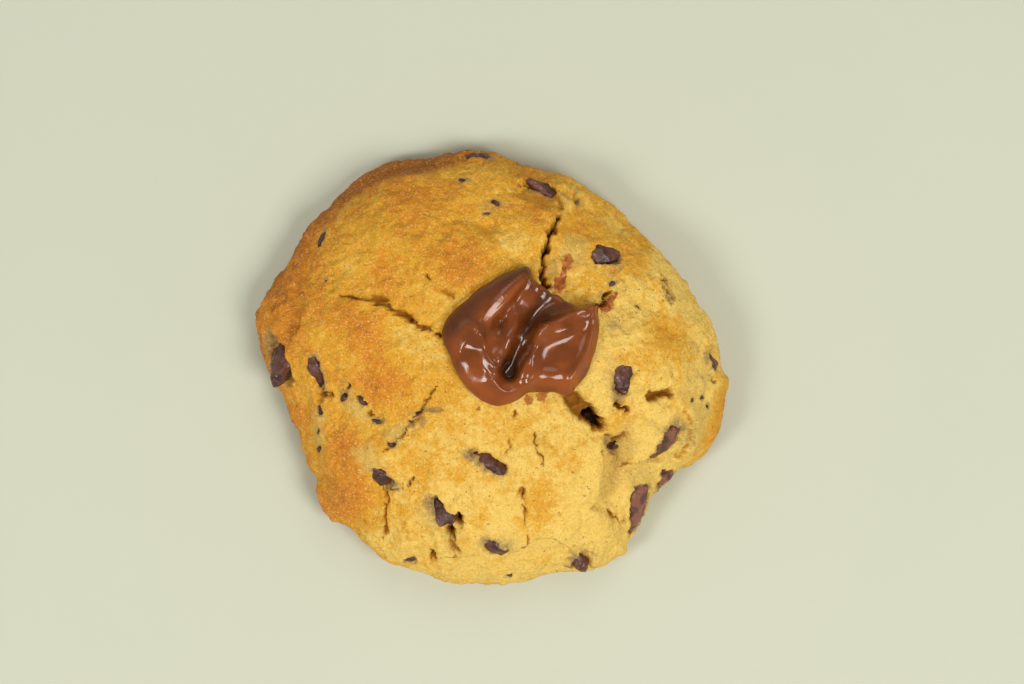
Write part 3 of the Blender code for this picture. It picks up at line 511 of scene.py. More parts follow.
# %% [markdown]
# ## A round grid
# Rings of points round a middle are the usual disc, but they crowd at the middle and stretch at the rim. A
# square grid pressed onto a disc gives even quads everywhere. It is the dough's top and sides down to the
# foot. The underside is plain and flat, so one many-sided face closes it.

# %% Helpers for meshes
def square_to_disc(count):
    """Grid points of a square moved onto a disc: distance from the middle, and angle in degrees."""
    ticks = np.linspace(-1.0, 1.0, count + 1)
    a, b = np.meshgrid(ticks, ticks, indexing="ij")
    wide = np.abs(a) >= np.abs(b)
    safe_a = np.where(a == 0.0, 1.0, a)
    safe_b = np.where(b == 0.0, 1.0, b)
    reach = np.where(wide, a, b)
    angle = np.where(wide, math.pi / 4 * b / safe_a, math.pi / 2 - math.pi / 4 * a / safe_b)
    x = (reach * np.cos(angle)).ravel()
    y = (reach * np.sin(angle)).ravel()
    return np.hypot(x, y), np.degrees(np.arctan2(y, x)) % 360.0


def grid_faces(count):
    """The quads of a square grid, and the loop of its border seen from above."""
    side = count + 1
    i, j = np.meshgrid(np.arange(count), np.arange(count), indexing="ij")
    first = (i * side + j).ravel()
    quads = np.stack([first, first + side, first + side + 1, first + 1], axis=1)
    border = [k * side for k in range(count)]
    border += [count * side + k for k in range(count)]
    border += [(count - k) * side + count for k in range(count)]
    border += [count - k for k in range(count)]
    return quads, border


def mesh_from(name, points, faces):
    """A mesh in millimetres from points and faces."""
    mesh = bpy.data.meshes.new(name)
    mesh.from_pydata([tuple(p) for p in points], [], faces)
    mesh.update()
    return mesh


def normals_of(mesh):
    """The mesh's point normals as an array."""
    values = np.empty(len(mesh.vertices) * 3)
    mesh.vertices.foreach_get("normal", values)
    return values.reshape(-1, 3)


def place_points(mesh, points):
    """Moves the mesh's points."""
    mesh.vertices.foreach_set("co", np.ascontiguousarray(points).ravel())
    mesh.update()


def write_field(mesh, name, values):
    """Stores one number for each point, for a material or a node tree to read."""
    field = mesh.attributes.new(name, "FLOAT", "POINT")
    field.data.foreach_set("value", np.ascontiguousarray(values, dtype=np.float32))


def in_scene(name, content):
    """A new object of the scene from a mesh, a lamp or a camera."""
    item = bpy.data.objects.new(name, content)
    bpy.context.scene.collection.objects.link(item)
    return item


def piece_from(name, mesh, material):
    """A finished piece: its place is in its mesh, in metres, about the middle of the underside."""
    mesh.transform(Matrix.Translation((PLAN_MOVE[0] * MM, PLAN_MOVE[1] * MM, 0.0)) @ Matrix.Scale(MM, 4))
    mesh.name = name
    piece = in_scene(name, mesh)
    mesh.materials.append(material)
    mesh.shade_smooth()
    return piece


# %% The dough before its chocolate, set in a little so that it stays inside the packed solids
DOUGH_GRID = 296
INSET = 0.2
FOOT_EASE = 0.8
LOW_EASE = 6.0
CLEAR_OF_GROUND = 0.02


def grounded(points):
    """The points with the foot on the ground, and all the others just clear of it."""
    points[:, 2] = np.where(foot <= 0.0, 0.0, np.maximum(points[:, 2], CLEAR_OF_GROUND))
    return points


reach, angles = square_to_disc(DOUGH_GRID)
smooth_points, foot = smooth_dough(reach, angles)
dough_quads, dough_border = grid_faces(DOUGH_GRID)
dough_faces = dough_quads.tolist() + [dough_border[::-1]]
dough = mesh_from("dough", smooth_points, dough_faces)
smooth_normals = normals_of(dough)
relief, torn = dough_relief(smooth_points)
strength = smooth_step(0.0, FOOT_EASE, foot) * (0.5 + 0.5 * smooth_step(0.0, LOW_EASE, smooth_points[:, 2]))
dough_points = grounded(smooth_points + smooth_normals * ((relief - INSET) * strength)[:, None])
place_points(dough, dough_points)
print("dough points:", len(dough_points), "highest:", round(float(dough_points[:, 2].max()), 2), "mm")

# %% [markdown]
# ## Where the chocolate sits
# A chunk lies in the dough with only its top showing, and the dough around it is pushed into a ragged
# lip. Each chunk gets a frame on the surface: along, across and out. The same frame places the chunk and
# presses its pocket, so the two always fit. Pressing the grid in keeps its even quads, which a cut with
# another solid would break up.

# %% Large chunks: node, x, y, length, width, heading, thickness, rise, taper, bend
CHUNKS = (
    ("chunk_left_edge", -40.0, 1.4, 9.2, 4.8, 96, 4.2, 0.7, 0.2, 0.5),
    ("chunk_left_bar", -32.1, -2.0, 8.4, 2.3, 92, 3.4, 0.1, 0.25, 0.3),
    ("chunk_top_bar", 11.6, 32.8, 9.6, 2.2, -14, 3.0, 0.45, 0.45, -0.2),
    ("chunk_upper_right", 21.6, 20.9, 5.6, 3.5, -4, 3.2, 0.15, -0.15, 0.2),
    ("chunk_right", 24.8, -2.6, 6.2, 3.1, 84, 3.4, 0.2, 0.25, -0.3),
    ("chunk_lower_right", 32.6, -14.2, 8.8, 5.2, 66, 3.8, 0.45, -0.25, 0.6),
    ("chunk_rim_right", 27.6, -26.9, 11.2, 4.1, 100, 4.0, 0.65, 0.3, 0.5),
    ("chunk_rim_corner", 33.0, -21.0, 4.6, 3.0, 52, 3.2, 0.25, 0.0, 0.3),
    ("chunk_front_middle", -0.3, -17.0, 8.0, 2.2, -31, 3.2, 0.05, 0.2, 0.2),
    ("chunk_front_left", -19.7, -20.6, 4.6, 2.9, -62, 3.4, 0.08, 0.15, 0.2),
    ("chunk_front_pair", -9.0, -26.4, 5.2, 2.8, -58, 3.4, 0.1, 0.3, 0.5),
    ("chunk_front_low", 1.0, -33.9, 5.0, 2.8, -38, 3.4, 0.12, -0.2, 0.2),
    ("chunk_right_edge", 42.0, 1.2, 4.2, 2.4, -28, 3.0, 0.15, 0.2, 0.1),
    ("chunk_back_edge", -2.3, 40.0, 4.6, 2.2, -10, 2.8, 0.4, 0.0, 0.2),
    ("chunk_front_edge", 17.6, -36.2, 4.4, 1.7, -32, 2.6, -0.12, 0.3, 0.2),
)

# %% Small chips: x, y, length, width, heading in degrees
CHIPS = (
    (-31.4, 24.6, 4.2, 1.1, 72),
    (-27.0, -5.5, 2.0, 1.5, 62),
    (-26.1, -3.6, 1.5, 0.6, 50),
    (-23.7, -6.4, 1.8, 0.8, -65),
    (-20.6, -9.9, 1.8, 1.0, -18),
    (-12.3, -7.7, 0.9, 0.8, 50),
    (-13.2, -9.1, 1.8, 1.3, 50),
    (-14.4, -10.2, 1.2, 0.7, 40),
    (-18.5, -14.1, 1.2, 0.8, -20),
    (-7.5, -28.4, 2.0, 1.5, 70),
    (23.0, -14.0, 3.0, 1.1, 40),
    (-5.2, 35.1, 1.4, 0.9, -20),
    (1.2, 30.6, 2.0, 0.7, -30),
    (-0.4, 28.6, 1.6, 0.6, 10),
    (-14.9, -36.5, 2.6, 1.2, 18),
    (22.9, 15.6, 1.8, 0.8, 40),
    (33.3, 14.4, 3.4, 0.6, -65),
    (37.8, -6.1, 0.9, 0.8, 0),
    (39.8, -5.7, 1.0, 0.9, 60),
    (41.0, -7.4, 0.9, 0.7, 40),
    (-31.7, -8.0, 1.9, 0.9, 74),
    (-31.9, -12.0, 1.5, 0.7, 40),
    (-32.0, -15.4, 1.4, 0.8, 30),
    (3.6, -39.4, 1.3, 0.7, 10),
    (27.4, 11.2, 1.0, 0.5, -40),
    (-30.6, 16.0, 0.8, 0.5, 20),
)
CHIP_THICKNESS = 2.0
CHIP_RISE = 0.1
print("chocolate:", len(CHUNKS), "chunks and", len(CHIPS), "chips")

# %% Chocolate just under the surface, seen as a grey film: x, y, length, width, heading
FILMS = (
    (11.8, 18.2, 5.6, 3.0, 82),
    (20.4, 13.4, 3.0, 2.4, 40),
    (13.6, 23.7, 3.2, 2.2, 10),
    (-4.6, 34.8, 4.4, 2.0, -10),
    (0.6, 29.8, 5.0, 3.6, 20),
    (22.6, 17.6, 2.2, 3.4, 0),
    (22.6, 8.0, 2.8, 3.6, 10),
    (-22.4, -18.6, 2.6, 2.6, 30),
    (-11.0, -26.4, 2.4, 3.0, 0),
    (37.0, -12.4, 3.6, 5.0, -20),
    (3.4, -32.6, 3.0, 2.4, -30),
    (38.6, 3.8, 3.0, 3.0, 0),
    (17.4, -35.2, 4.4, 2.4, -20),
    (-4.6, -15.2, 2.4, 2.0, -30),
    (3.4, -19.4, 2.4, 1.8, -30),
    (-26.6, -2.6, 2.0, 2.0, 0),
    (10.2, 13.0, 3.0, 4.0, 0),
    (-16.8, -13.2, 3.4, 1.8, 40),
)
print("films:", len(FILMS))


# %% Torn-open inner dough, paler and greyer than the crust, partly painted shade in low valleys: x, y, length, width, heading
INNER_DOUGH = (
    (24.0, -17.6, 11.0, 3.6, 70),
    (27.6, -20.4, 5.0, 4.4, 30),
    (22.2, -22.8, 4.6, 2.2, 70),
    (38.6, -11.4, 9.0, 3.6, 70),
    (38.4, -3.4, 6.0, 4.0, 60),
    (22.2, -1.2, 5.0, 1.6, 84),
    (24.6, -12.2, 4.0, 2.4, 40),
    (15.4, 21.4, 5.6, 4.2, 70),
    (24.0, 8.0, 4.0, 3.0, 20),
    (-22.2, -17.0, 6.0, 3.6, -60),
    (-24.6, -7.4, 5.0, 3.0, -40),
    (-16.6, -12.0, 5.0, 2.4, 40),
    (-10.4, -27.0, 5.4, 4.0, -50),
    (-6.8, -32.4, 4.0, 3.0, 90),
    (3.4, -32.4, 4.0, 2.4, -30),
    (-32.0, -11.6, 6.0, 1.6, 88),
)
print("inner dough:", len(INNER_DOUGH))

# %% Chocolate rubbed thinly into the crumb: x, y, radius
SAUCE_SPOTS = (
    (14.2, 19.4, 1.5),
    (13.0, 15.0, 1.7),
    (21.6, 11.6, 1.6),
    (7.4, -5.7, 1.1),
    (9.6, -5.5, 1.2),
    (11.2, -5.2, 0.8),
    (13.6, -5.0, 0.9),
    (-1.8, -7.4, 0.7),
)
print("sauce spots:", len(SAUCE_SPOTS))


# %% Frames on the surface, and the pockets cut at them
def tree_of(points, quads):
    """A search tree over a grid of quads."""
    return BVHTree.FromPolygons([Vector(p) for p in points], quads.tolist())


BLOCK_DEPTH_REACH = 4.0
BEND_MIDDLE = 0.4
FAR = 99.0


def surface_frame(tree, x, y, heading):
    """A placing matrix on the dough under a point of the plan, turned to its heading."""
    spot, normal, _, _ = tree.ray_cast(Vector((x, y, 2 * DOUGH_HEIGHT)), Vector((0.0, 0.0, -1.0)))
    if spot is None:
        spot, normal, _, _ = tree.find_nearest(Vector((x, y, WAIST_HEIGHT)))
    along = Vector((math.cos(math.radians(heading)), math.sin(math.radians(heading)), 0.0))
    across = normal.cross(along).normalized()
    along = across.cross(normal).normalized()
    place = Matrix((along, across, normal)).transposed().to_4x4()
    place.translation = spot
    return place


def block_distance(points, place, length, width, taper=0.0, bend=0.0):
    """Distance of each point to the edge of a block with round ends seen along its frame."""
    inverse = np.array(place.inverted())
    local = points @ inverse[:3, :3].T + inverse[:3, 3]
    share = np.clip(2.0 * local[:, 0] / length, -1.0, 1.0)
    across = (local[:, 1] - bend * (share * share - BEND_MIDDLE)) / (1.0 + taper * share)
    edge = flat_block_distance(local[:, 0], across, 0.0, 0.0, length, width, 0.0)
    return np.where(np.abs(local[:, 2]) < BLOCK_DEPTH_REACH, edge, FAR)


smooth_tree = tree_of(dough_points, dough_quads)
chunk_frames = [surface_frame(smooth_tree, x, y, turn) for _, x, y, _, _, turn, *_ in CHUNKS]
chip_frames = [surface_frame(smooth_tree, x, y, turn) for x, y, _, _, turn in CHIPS]
film_frames = [surface_frame(smooth_tree, x, y, turn) for x, y, _, _, turn in FILMS]
print("frames:", len(chunk_frames), "chunks,", len(chip_frames), "chips,", len(film_frames), "films")

# %% Pockets for the chocolate, and the films, torn crumb and rubbed sauce round them
POCKET_DEPTH = 1.3
CHIP_POCKET_DEPTH = 0.7
LIP_HEIGHT = 0.25
LIP_PLACE = 0.4
LIP_REACH = 0.5
# How strong each film is, and the distances from the chocolate between which it fades
CHUNK_FILM = (0.75, -0.9, 1.1)
CHIP_FILM = (0.6, -0.1, 0.7)
PATCH_FILM = (0.45, -1.4, 0.8)
FILM_SHIFT = (1.2, 0.7)
FILM_SEED = 5
# Distances from an edge between which each wall or colour fades; the sauce's are shares of its radius
CHUNK_WALL = (-0.5, 0.0)
CHIP_WALL = (-0.3, 0.1)
TORN_EASE = (-0.8, 1.2)
SAUCE_EASE = (0.4, 1.2)
# How ragged the edge of each is
RAGGED_CHIP = 0.5
RAGGED_FILM = 1.4
RAGGED_PATCH = 1.5
RAGGED_TORN = 1.6
RAGGED_SAUCE = 1.2


def film_of(kind, edge):
    """How strongly chocolate shows through the crust at a distance from it."""
    amount, start, end = kind
    return amount * fading(edge, start, end)


x, y = dough_points[:, 0], dough_points[:, 1]
ragged_edge = 0.6 * noise_at(dough_points, 1.6, 2, 15.0) + 0.35 * noise_at(dough_points, 0.7, 1, 25.0)
pocket, stain, lip, inner, sauce = np.zeros((5, len(dough_points)))
draw = random.Random(FILM_SEED)
for (_, _, _, length, width, _, _, _, taper, bend), place in zip(CHUNKS, chunk_frames):
    edge = block_distance(dough_points, place, length, width, taper, bend) + ragged_edge
    pocket = np.maximum(pocket, POCKET_DEPTH * fading(edge, *CHUNK_WALL))
    lip = np.maximum(lip, LIP_HEIGHT * bell(edge - LIP_PLACE, LIP_REACH))
    along, across = FILM_SHIFT
    aside = Matrix.Translation((draw.uniform(-along, along), draw.choice((-across, across)), 0.0))
    film_edge = block_distance(dough_points, place @ aside, length, width) + RAGGED_FILM * ragged_edge
    stain = np.maximum(stain, film_of(CHUNK_FILM, film_edge))
for (_, _, length, width, _), place in zip(CHIPS, chip_frames):
    edge = block_distance(dough_points, place, length, width) + RAGGED_CHIP * ragged_edge
    pocket = np.maximum(pocket, CHIP_POCKET_DEPTH * fading(edge, *CHIP_WALL))
    stain = np.maximum(stain, film_of(CHIP_FILM, edge))
for (_, _, length, width, _), place in zip(FILMS, film_frames):
    edge = block_distance(dough_points, place, length, width) + RAGGED_PATCH * ragged_edge
    stain = np.maximum(stain, film_of(PATCH_FILM, edge))
for torn_place in INNER_DOUGH:
    edge = flat_block_distance(x, y, *torn_place) + RAGGED_TORN * ragged_edge
    inner = np.maximum(inner, fading(edge, *TORN_EASE))
for middle_x, middle_y, radius in SAUCE_SPOTS:
    distance = np.hypot(x - middle_x, y - middle_y) + RAGGED_SAUCE * ragged_edge
    sauce = np.maximum(sauce, fading(distance, *(share * radius for share in SAUCE_EASE)))
dough_points = grounded(dough_points + smooth_normals * ((lip - pocket) * strength)[:, None])
place_points(dough, dough_points)
dough_tree = tree_of(dough_points, dough_quads)
print("pockets:", len(chunk_frames) + len(chip_frames), "deepest:", round(float(pocket.max()), 2), "mm")

# %% [markdown]
# ## How brown the dough is
# Heat reaches the foot, the thin skirt and the tops of the mounds first, so they are browner. The rest
# stays a warm yellow. A painted picture could show this, but it would need the crust unwrapped without a
# seam. So the spots are stored in the mesh as one number for each point, and the material turns that number
# into colour.

# %% Browned spots of the top: x, y, radius, strength
BROWN_SPOTS = (
    (-27.5, 6.0, 8.0, 0.14),
    (-8.5, -3.6, 4.0, 0.22),
    (-4.5, 19.3, 5.5, 0.55),
    (9.0, 29.6, 4.5, 0.4),
    (-19.1, -2.6, 5.5, 0.6),
    (-26.5, -15.5, 5.0, 0.6),
    (-26.0, -24.6, 5.0, 0.6),
    (-38.0, 6.0, 4.0, 0.5),
    (-38.0, 12.0, 4.0, 0.45),
    (-35.0, 19.0, 4.0, 0.3),
    (-13.0, 32.0, 7.0, 0.35),
    (-18.9, 17.3, 4.0, 0.3),
    (-23.0, 7.5, 4.0, 0.35),
    (16.8, 25.6, 4.0, 0.45),
    (27.0, 21.4, 4.0, 0.4),
    (33.4, 6.0, 4.5, 0.5),
    (9.2, -24.6, 4.0, 0.45),
    (29.0, -1.0, 4.0, 0.3),
    (24.6, -11.0, 3.0, 0.3),
    (-32.0, -27.0, 6.0, 0.4),
    (-37.0, -10.0, 4.0, 0.5),
)

BROWN_MEAN = 0.20
BROWN_SPOT_STRENGTH = 0.62
PALE_SLOPE = 0.0062
PALE_HEADING = (-0.8, 0.6)
# Browner rims: angle and reach in degrees, strength, and the shares of the radius between which they grow
SKIRT_RIM = (SKIRT_ANGLE, SKIRT_REACH + 6, 0.6, 0.915, 0.945)
LEFT_RIM = (165, 32, 0.2, 0.90, 1.0)
RIGHT_RIM = (345, 15, 0.45, 0.90, 0.97)
FOOT_BROWN = 0.55
FOOT_BROWN_HEIGHTS = (0.8, 8.5)


# %% Browning, and the other fields that the material reads
def browning_of(points):
    """How brown each point is baked, from pale to the colour of the skirt."""
    x, y, z = points[:, 0], points[:, 1], points[:, 2]
    angle = np.degrees(np.arctan2(y, x)) % 360.0
    share = np.hypot(x, y) / outline_radius(angle)
    brown = BROWN_MEAN + 0.16 * noise_at(points, 7.0, 2) + 0.1 * noise_at(points, 2.2, 2)
    brown = brown + PALE_SLOPE * (PALE_HEADING[0] * x + PALE_HEADING[1] * y)
    for sx, sy, radius, amount in BROWN_SPOTS:
        brown = brown + BROWN_SPOT_STRENGTH * amount * bell(np.hypot(x - sx, y - sy), radius)
    wavy_share = share + 0.006 * noise_at(points, 1.4, 2)
    near_rim = []
    for rim, rim_share in ((SKIRT_RIM, wavy_share), (LEFT_RIM, share), (RIGHT_RIM, share)):
        centre, reach, amount, start, end = rim
        near_rim.append(bell(angle_between(angle, centre), reach))
        brown = brown + amount * near_rim[-1] * smooth_step(start, end, rim_share)
    low = fading(z + 0.9 * noise_at(points, 5.0), *FOOT_BROWN_HEIGHTS)
    return np.clip(brown + FOOT_BROWN * low * (0.55 + 0.45 * np.maximum(*near_rim[:2])), 0.0, 1.0)


UNDERSIDE_BROWN = 0.78
on_ground = foot <= 0.0
write_field(dough, "brown", np.where(on_ground, UNDERSIDE_BROWN, browning_of(dough_points)))
for name, values in (("torn", torn), ("stain", stain), ("inner", inner), ("sauce", sauce)):
    write_field(dough, name, np.where(on_ground, 0.0, values))
print("mean browning:", round(float(browning_of(dough_points).mean()), 3))

# %% [markdown]
# ## Materials from nodes
# Each finish is a small tree of nodes, worked out at every point in the piece's own space, so nothing slides
# or stretches. The nodes could be placed one by one. A helper class keeps the trees short instead: it adds a
# node, sets its values and links its inputs in one call.


# %% A helper for node trees
class Tree:
    """Builds a material's nodes by name, with values and links given together."""

    def __init__(self, name):
        self.material = bpy.data.materials.new(name)
        self.material.use_nodes = True
        self.nodes = self.material.node_tree.nodes
        self.links = self.material.node_tree.links
        self.shader = self.nodes["Principled BSDF"]
        self.place = self.nodes.new("ShaderNodeTexCoord").outputs["Object"]

    def put(self, socket, value):
        """Links a socket into an input, or sets the input to a value."""
        if isinstance(value, bpy.types.NodeSocket):
            self.links.new(value, socket)
        else:
            socket.default_value = value

    def field(self, name):
        """One number for each point, as stored in the mesh."""
        node = self.nodes.new("ShaderNodeAttribute")
        node.attribute_name = name
        return node.outputs["Fac"]

    def noise(self, size, detail=2.0, roughness=0.5, stretch=None):
        """Noise whose bumps are as wide as the size in millimetres, longer where the stretch is small."""
        place = self.place
        if stretch is not None:
            mapping = self.nodes.new("ShaderNodeMapping")
            mapping.inputs["Scale"].default_value = stretch
            self.put(mapping.inputs["Vector"], place)
            place = mapping.outputs["Vector"]
        node = self.nodes.new("ShaderNodeTexNoise")
        self.put(node.inputs["Vector"], place)
        node.inputs["Scale"].default_value = 1.0 / (size * MM)
        node.inputs["Detail"].default_value = detail
        node.inputs["Roughness"].default_value = roughness
        return node.outputs["Fac"]

    def span(self, value, low, high, to_low=0.0, to_high=1.0):
        """Stretches a value from one range to another, held at its ends."""
        node = self.nodes.new("ShaderNodeMapRange")
        node.interpolation_type = "SMOOTHSTEP"
        self.put(node.inputs["Value"], value)
        node.inputs["From Min"].default_value = low
        node.inputs["From Max"].default_value = high
        node.inputs["To Min"].default_value = to_low
        node.inputs["To Max"].default_value = to_high
        return node.outputs["Result"]

    def sum(self, a, b, operation="ADD"):
        """Two numbers put together."""
        node = self.nodes.new("ShaderNodeMath")
        node.operation = operation
        self.put(node.inputs[0], a)
        self.put(node.inputs[1], b)
        return node.outputs["Value"]

    def mix(self, share, a, b):
        """Two colours put together by a share."""
        node = self.nodes.new("ShaderNodeMix")
        node.data_type = "RGBA"
        self.put(node.inputs[0], share)
        self.put(node.inputs[6], a)
        self.put(node.inputs[7], b)
        return node.outputs[2]

    def bump(self, height, depth, before=None):
        """Fine relief that only the shading shows, its depth in millimetres."""
        node = self.nodes.new("ShaderNodeBump")
        node.inputs["Strength"].default_value = 1.0
        node.inputs["Distance"].default_value = depth * MM
        self.put(node.inputs["Height"], height)
        if before is not None:
            self.put(node.inputs["Normal"], before)
        return node.outputs["Normal"]

    def finish(self, **inputs):
        """Sets the shader's own inputs, written with underscores for spaces."""
        for name, value in inputs.items():
            self.put(self.shader.inputs[name.replace("_", " ")], value)
        return self.material


print("a finish is made with:", [verb for verb in vars(Tree) if not verb.startswith("_")])


# %% [markdown]
# ## Baked dough
# Up close the crust is a mosaic of grains a few tenths of a millimetre wide: pale where sugar and flour
# dried, darker where fat browned, with pinholes between them. Three sizes of noise make that mosaic, and
# the browning field shifts all of it from yellow through orange to brown. Torn dough inside a crack is
# moist, so it is a deeper orange brown, which is partly painted shade. The deepest cracks and holes are
# painted nearly black as shade, and the low valleys beside the ledges are painted paler and greyer: partly
# torn inner dough, partly painted shade.

# %% Colours of the dough
PALE = (0.88, 0.59, 0.13, 1.0)
GOLD = (0.76, 0.380, 0.024, 1.0)
ORANGE = (0.68, 0.245, 0.012, 1.0)
CRUST = (0.42, 0.13, 0.012, 1.0)
# Inside tears: moist torn dough that is partly painted shade, then painted shade near black in the deepest.
TORN_DOUGH_AND_SHADE = (0.46, 0.19, 0.014, 1.0)
DEEP_PAINTED_SHADE = (0.035, 0.014, 0.005, 1.0)
FILM = (0.38, 0.25, 0.095, 1.0)
NEAR_FILM = (0.17, 0.105, 0.052, 1.0)
SUGAR = (0.95, 0.74, 0.36, 1.0)
PINHOLE = (0.34, 0.14, 0.02, 1.0)
# Partly the paler, greyer dough torn open inside, partly painted shade in the low valleys beside the ledges.
INNER_DOUGH_AND_SHADE = (0.70, 0.46, 0.105, 1.0)
SAUCE = (0.42, 0.105, 0.014, 1.0)
GRAIN = 0.38


def dough_colour(tree):
    """The mosaic of crumb, tinted by browning, tears and the chocolate beneath, with painted shade in tears
    and valleys.
    """
    brown = tree.sum(tree.field("brown"), tree.span(tree.noise(1.3, 3.0), 0.3, 0.7, -0.10, 0.10))
    colour = tree.mix(tree.span(brown, 0.0, 0.34), PALE, GOLD)
    colour = tree.mix(tree.span(brown, 0.30, 0.66), colour, ORANGE)
    colour = tree.mix(tree.span(brown, 0.62, 0.98), colour, CRUST)
    # Inner dough, partly painted shade: paler and greyer in the low valleys beside the ledges.
    colour = tree.mix(tree.sum(tree.field("inner"), 0.75, "MULTIPLY"), colour, INNER_DOUGH_AND_SHADE)
    grain = tree.noise(GRAIN, 3.0, 0.7)
    colour = tree.mix(tree.span(grain, 0.53, 0.72, 0.0, 0.65), colour, SUGAR)
    colour = tree.mix(tree.span(grain, 0.47, 0.30, 0.0, 0.65), colour, tree.mix(0.55, colour, PINHOLE))
    colour = tree.mix(tree.span(tree.noise(0.75, 1.0), 0.29, 0.24, 0.0, 0.7), colour, PINHOLE)
    patchy = tree.sum(tree.field("stain"), tree.span(tree.noise(0.9, 2.0, 0.5), 0.3, 0.7, -0.12, 0.12))
    patchy = tree.sum(patchy, tree.span(grain, 0.35, 0.65, 0.06, -0.06))
    colour = tree.mix(tree.span(patchy, 0.1, 0.75, 0.0, 0.8), colour, FILM)
    colour = tree.mix(tree.span(patchy, 0.62, 0.95, 0.0, 0.85), colour, NEAR_FILM)
    rubbed = tree.sum(tree.field("sauce"), tree.span(tree.noise(0.7, 2.0, 0.6), 0.3, 0.7, -0.3, 0.3))
    colour = tree.mix(tree.span(rubbed, 0.3, 0.9, 0.0, 0.85), colour, SAUCE)
    # Tears: moist torn dough partly painted as shade, then painted shade near black where deepest.
    colour = tree.mix(tree.span(tree.field("torn"), 0.1, 0.5), colour, TORN_DOUGH_AND_SHADE)
    return tree.mix(tree.span(tree.field("torn"), 0.55, 1.0), colour, DEEP_PAINTED_SHADE)


def dough_material():
    """Matte baked dough with a grainy relief."""
    tree = Tree("baked_dough")
    grain = tree.bump(tree.noise(GRAIN, 3.0, 0.7), 0.3)
    crumb = tree.bump(tree.noise(1.1, 2.0, 0.55), 0.35, before=grain)
    dry = tree.span(tree.noise(0.6), 0.35, 0.7, 0.55, 0.85)
    roughness = tree.sum(dry, tree.sum(tree.field("sauce"), 0.35, "MULTIPLY"), "SUBTRACT")
    return tree.finish(Base_Color=dough_colour(tree), Roughness=roughness, Normal=crumb,
                       Specular_IOR_Level=0.25, Subsurface_Weight=0.10,
                       Subsurface_Radius=(1.0, 0.5, 0.2), Subsurface_Scale=0.0012)


baked_dough = dough_material()
dough_piece = piece_from("dough_body", dough, baked_dough)
underside = max(dough.polygons, key=lambda face: face.loop_total)
underside.use_smooth = False
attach(dough_piece, ROOT)
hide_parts("cookie_dough")
print("dough faces:", len(dough.polygons))

# %% [markdown]
# ## Broken chocolate
# Chopped chocolate breaks into blocks with blunt corners and rough faces. Each block starts as the hull of
# uneven corners spread over a rounded block, then it is narrowed towards one end and bent a little. Its faces
# are split and smoothed once, and noise roughens them. A box with bevelled edges would be simpler, but its
# square corners look moulded, and real chunks look broken.


# %% Blocks of chocolate
BLOCK_CORNERS = 22
BLOCK_CUTS = 6
CHIP_CORNERS = 14
CHIP_CUTS = 3
BLOCK_SQUARENESS = 3.2
CORNER_PULL = 0.86
CORNER_WANDER = 0.4
GOLDEN_TURN = math.pi * (3.0 - math.sqrt(5.0))
# Roughness of the faces: size and height of the bumps
BLOCK_BUMPS = ((2.2, 0.40), (0.8, 0.13))
BLOCK_SHIFT = 3.1


def broken_block(size, taper, bend, seed, corners):
    """The hull of uneven corners spread over a rounded block, wider at one end and bent aside."""
    length, width, thickness = size
    draw = random.Random(seed)
    made = bmesh.new()
    for k in range(corners):
        up = 1.0 - (2 * k + 1) / corners
        turn = k * GOLDEN_TURN + draw.uniform(-CORNER_WANDER, CORNER_WANDER)
        ring = math.sqrt(1.0 - up * up)
        way = Vector((ring * math.cos(turn), ring * math.sin(turn), up))
        reach = sum(abs(c) ** BLOCK_SQUARENESS for c in way) ** (-1.0 / BLOCK_SQUARENESS)
        way *= 0.5 * reach * draw.uniform(CORNER_PULL, 1.0)
        made.verts.new((way.x * length, way.y * width, way.z * thickness))
    hull = bmesh.ops.convex_hull(made, input=made.verts[:])
    bmesh.ops.delete(made, geom=hull["geom_interior"], context="VERTS")
    for vertex in made.verts:
        share = 2 * vertex.co.x / length
        vertex.co.y = vertex.co.y * (1.0 + taper * share) + bend * (share * share - BEND_MIDDLE)
    return made


def block_mesh(size, taper, bend, seed, corners, cuts, fresh):
    """A broken block with rough faces, which stores the nearness of its rim and how fresh the break is."""
    length, width, _ = size
    made = broken_block(size, taper, bend, seed, corners)
    bmesh.ops.subdivide_edges(made, edges=made.edges[:], cuts=cuts, use_grid_fill=True)
    bmesh.ops.smooth_vert(made, verts=made.verts[:], factor=0.5, use_axis_x=True, use_axis_y=True,
                          use_axis_z=True)
    rims = []
    for vertex in made.verts:
        place = vertex.co + Vector((seed * BLOCK_SHIFT, 0.0, 0.0))
        rough = sum(height * noise.noise(place / wide) for wide, height in BLOCK_BUMPS)
        rims.append(math.hypot(2 * vertex.co.x / length, 2 * vertex.co.y / width))
        vertex.co += vertex.co.normalized() * rough
    mesh = bpy.data.meshes.new("block")
    made.to_mesh(mesh)
    made.free()
    write_field(mesh, "rim", np.array(rims))
    write_field(mesh, "fresh", np.full(len(rims), fresh))
    return mesh


# %% Colours of the broken chocolate
CHUNK_DARK = (0.035, 0.010, 0.008, 1.0)
CHUNK_MID = (0.085, 0.026, 0.018, 1.0)
CHUNK_FRESH = (0.24, 0.085, 0.052, 1.0)
CHUNK_DUSTY = (0.27, 0.15, 0.05, 1.0)


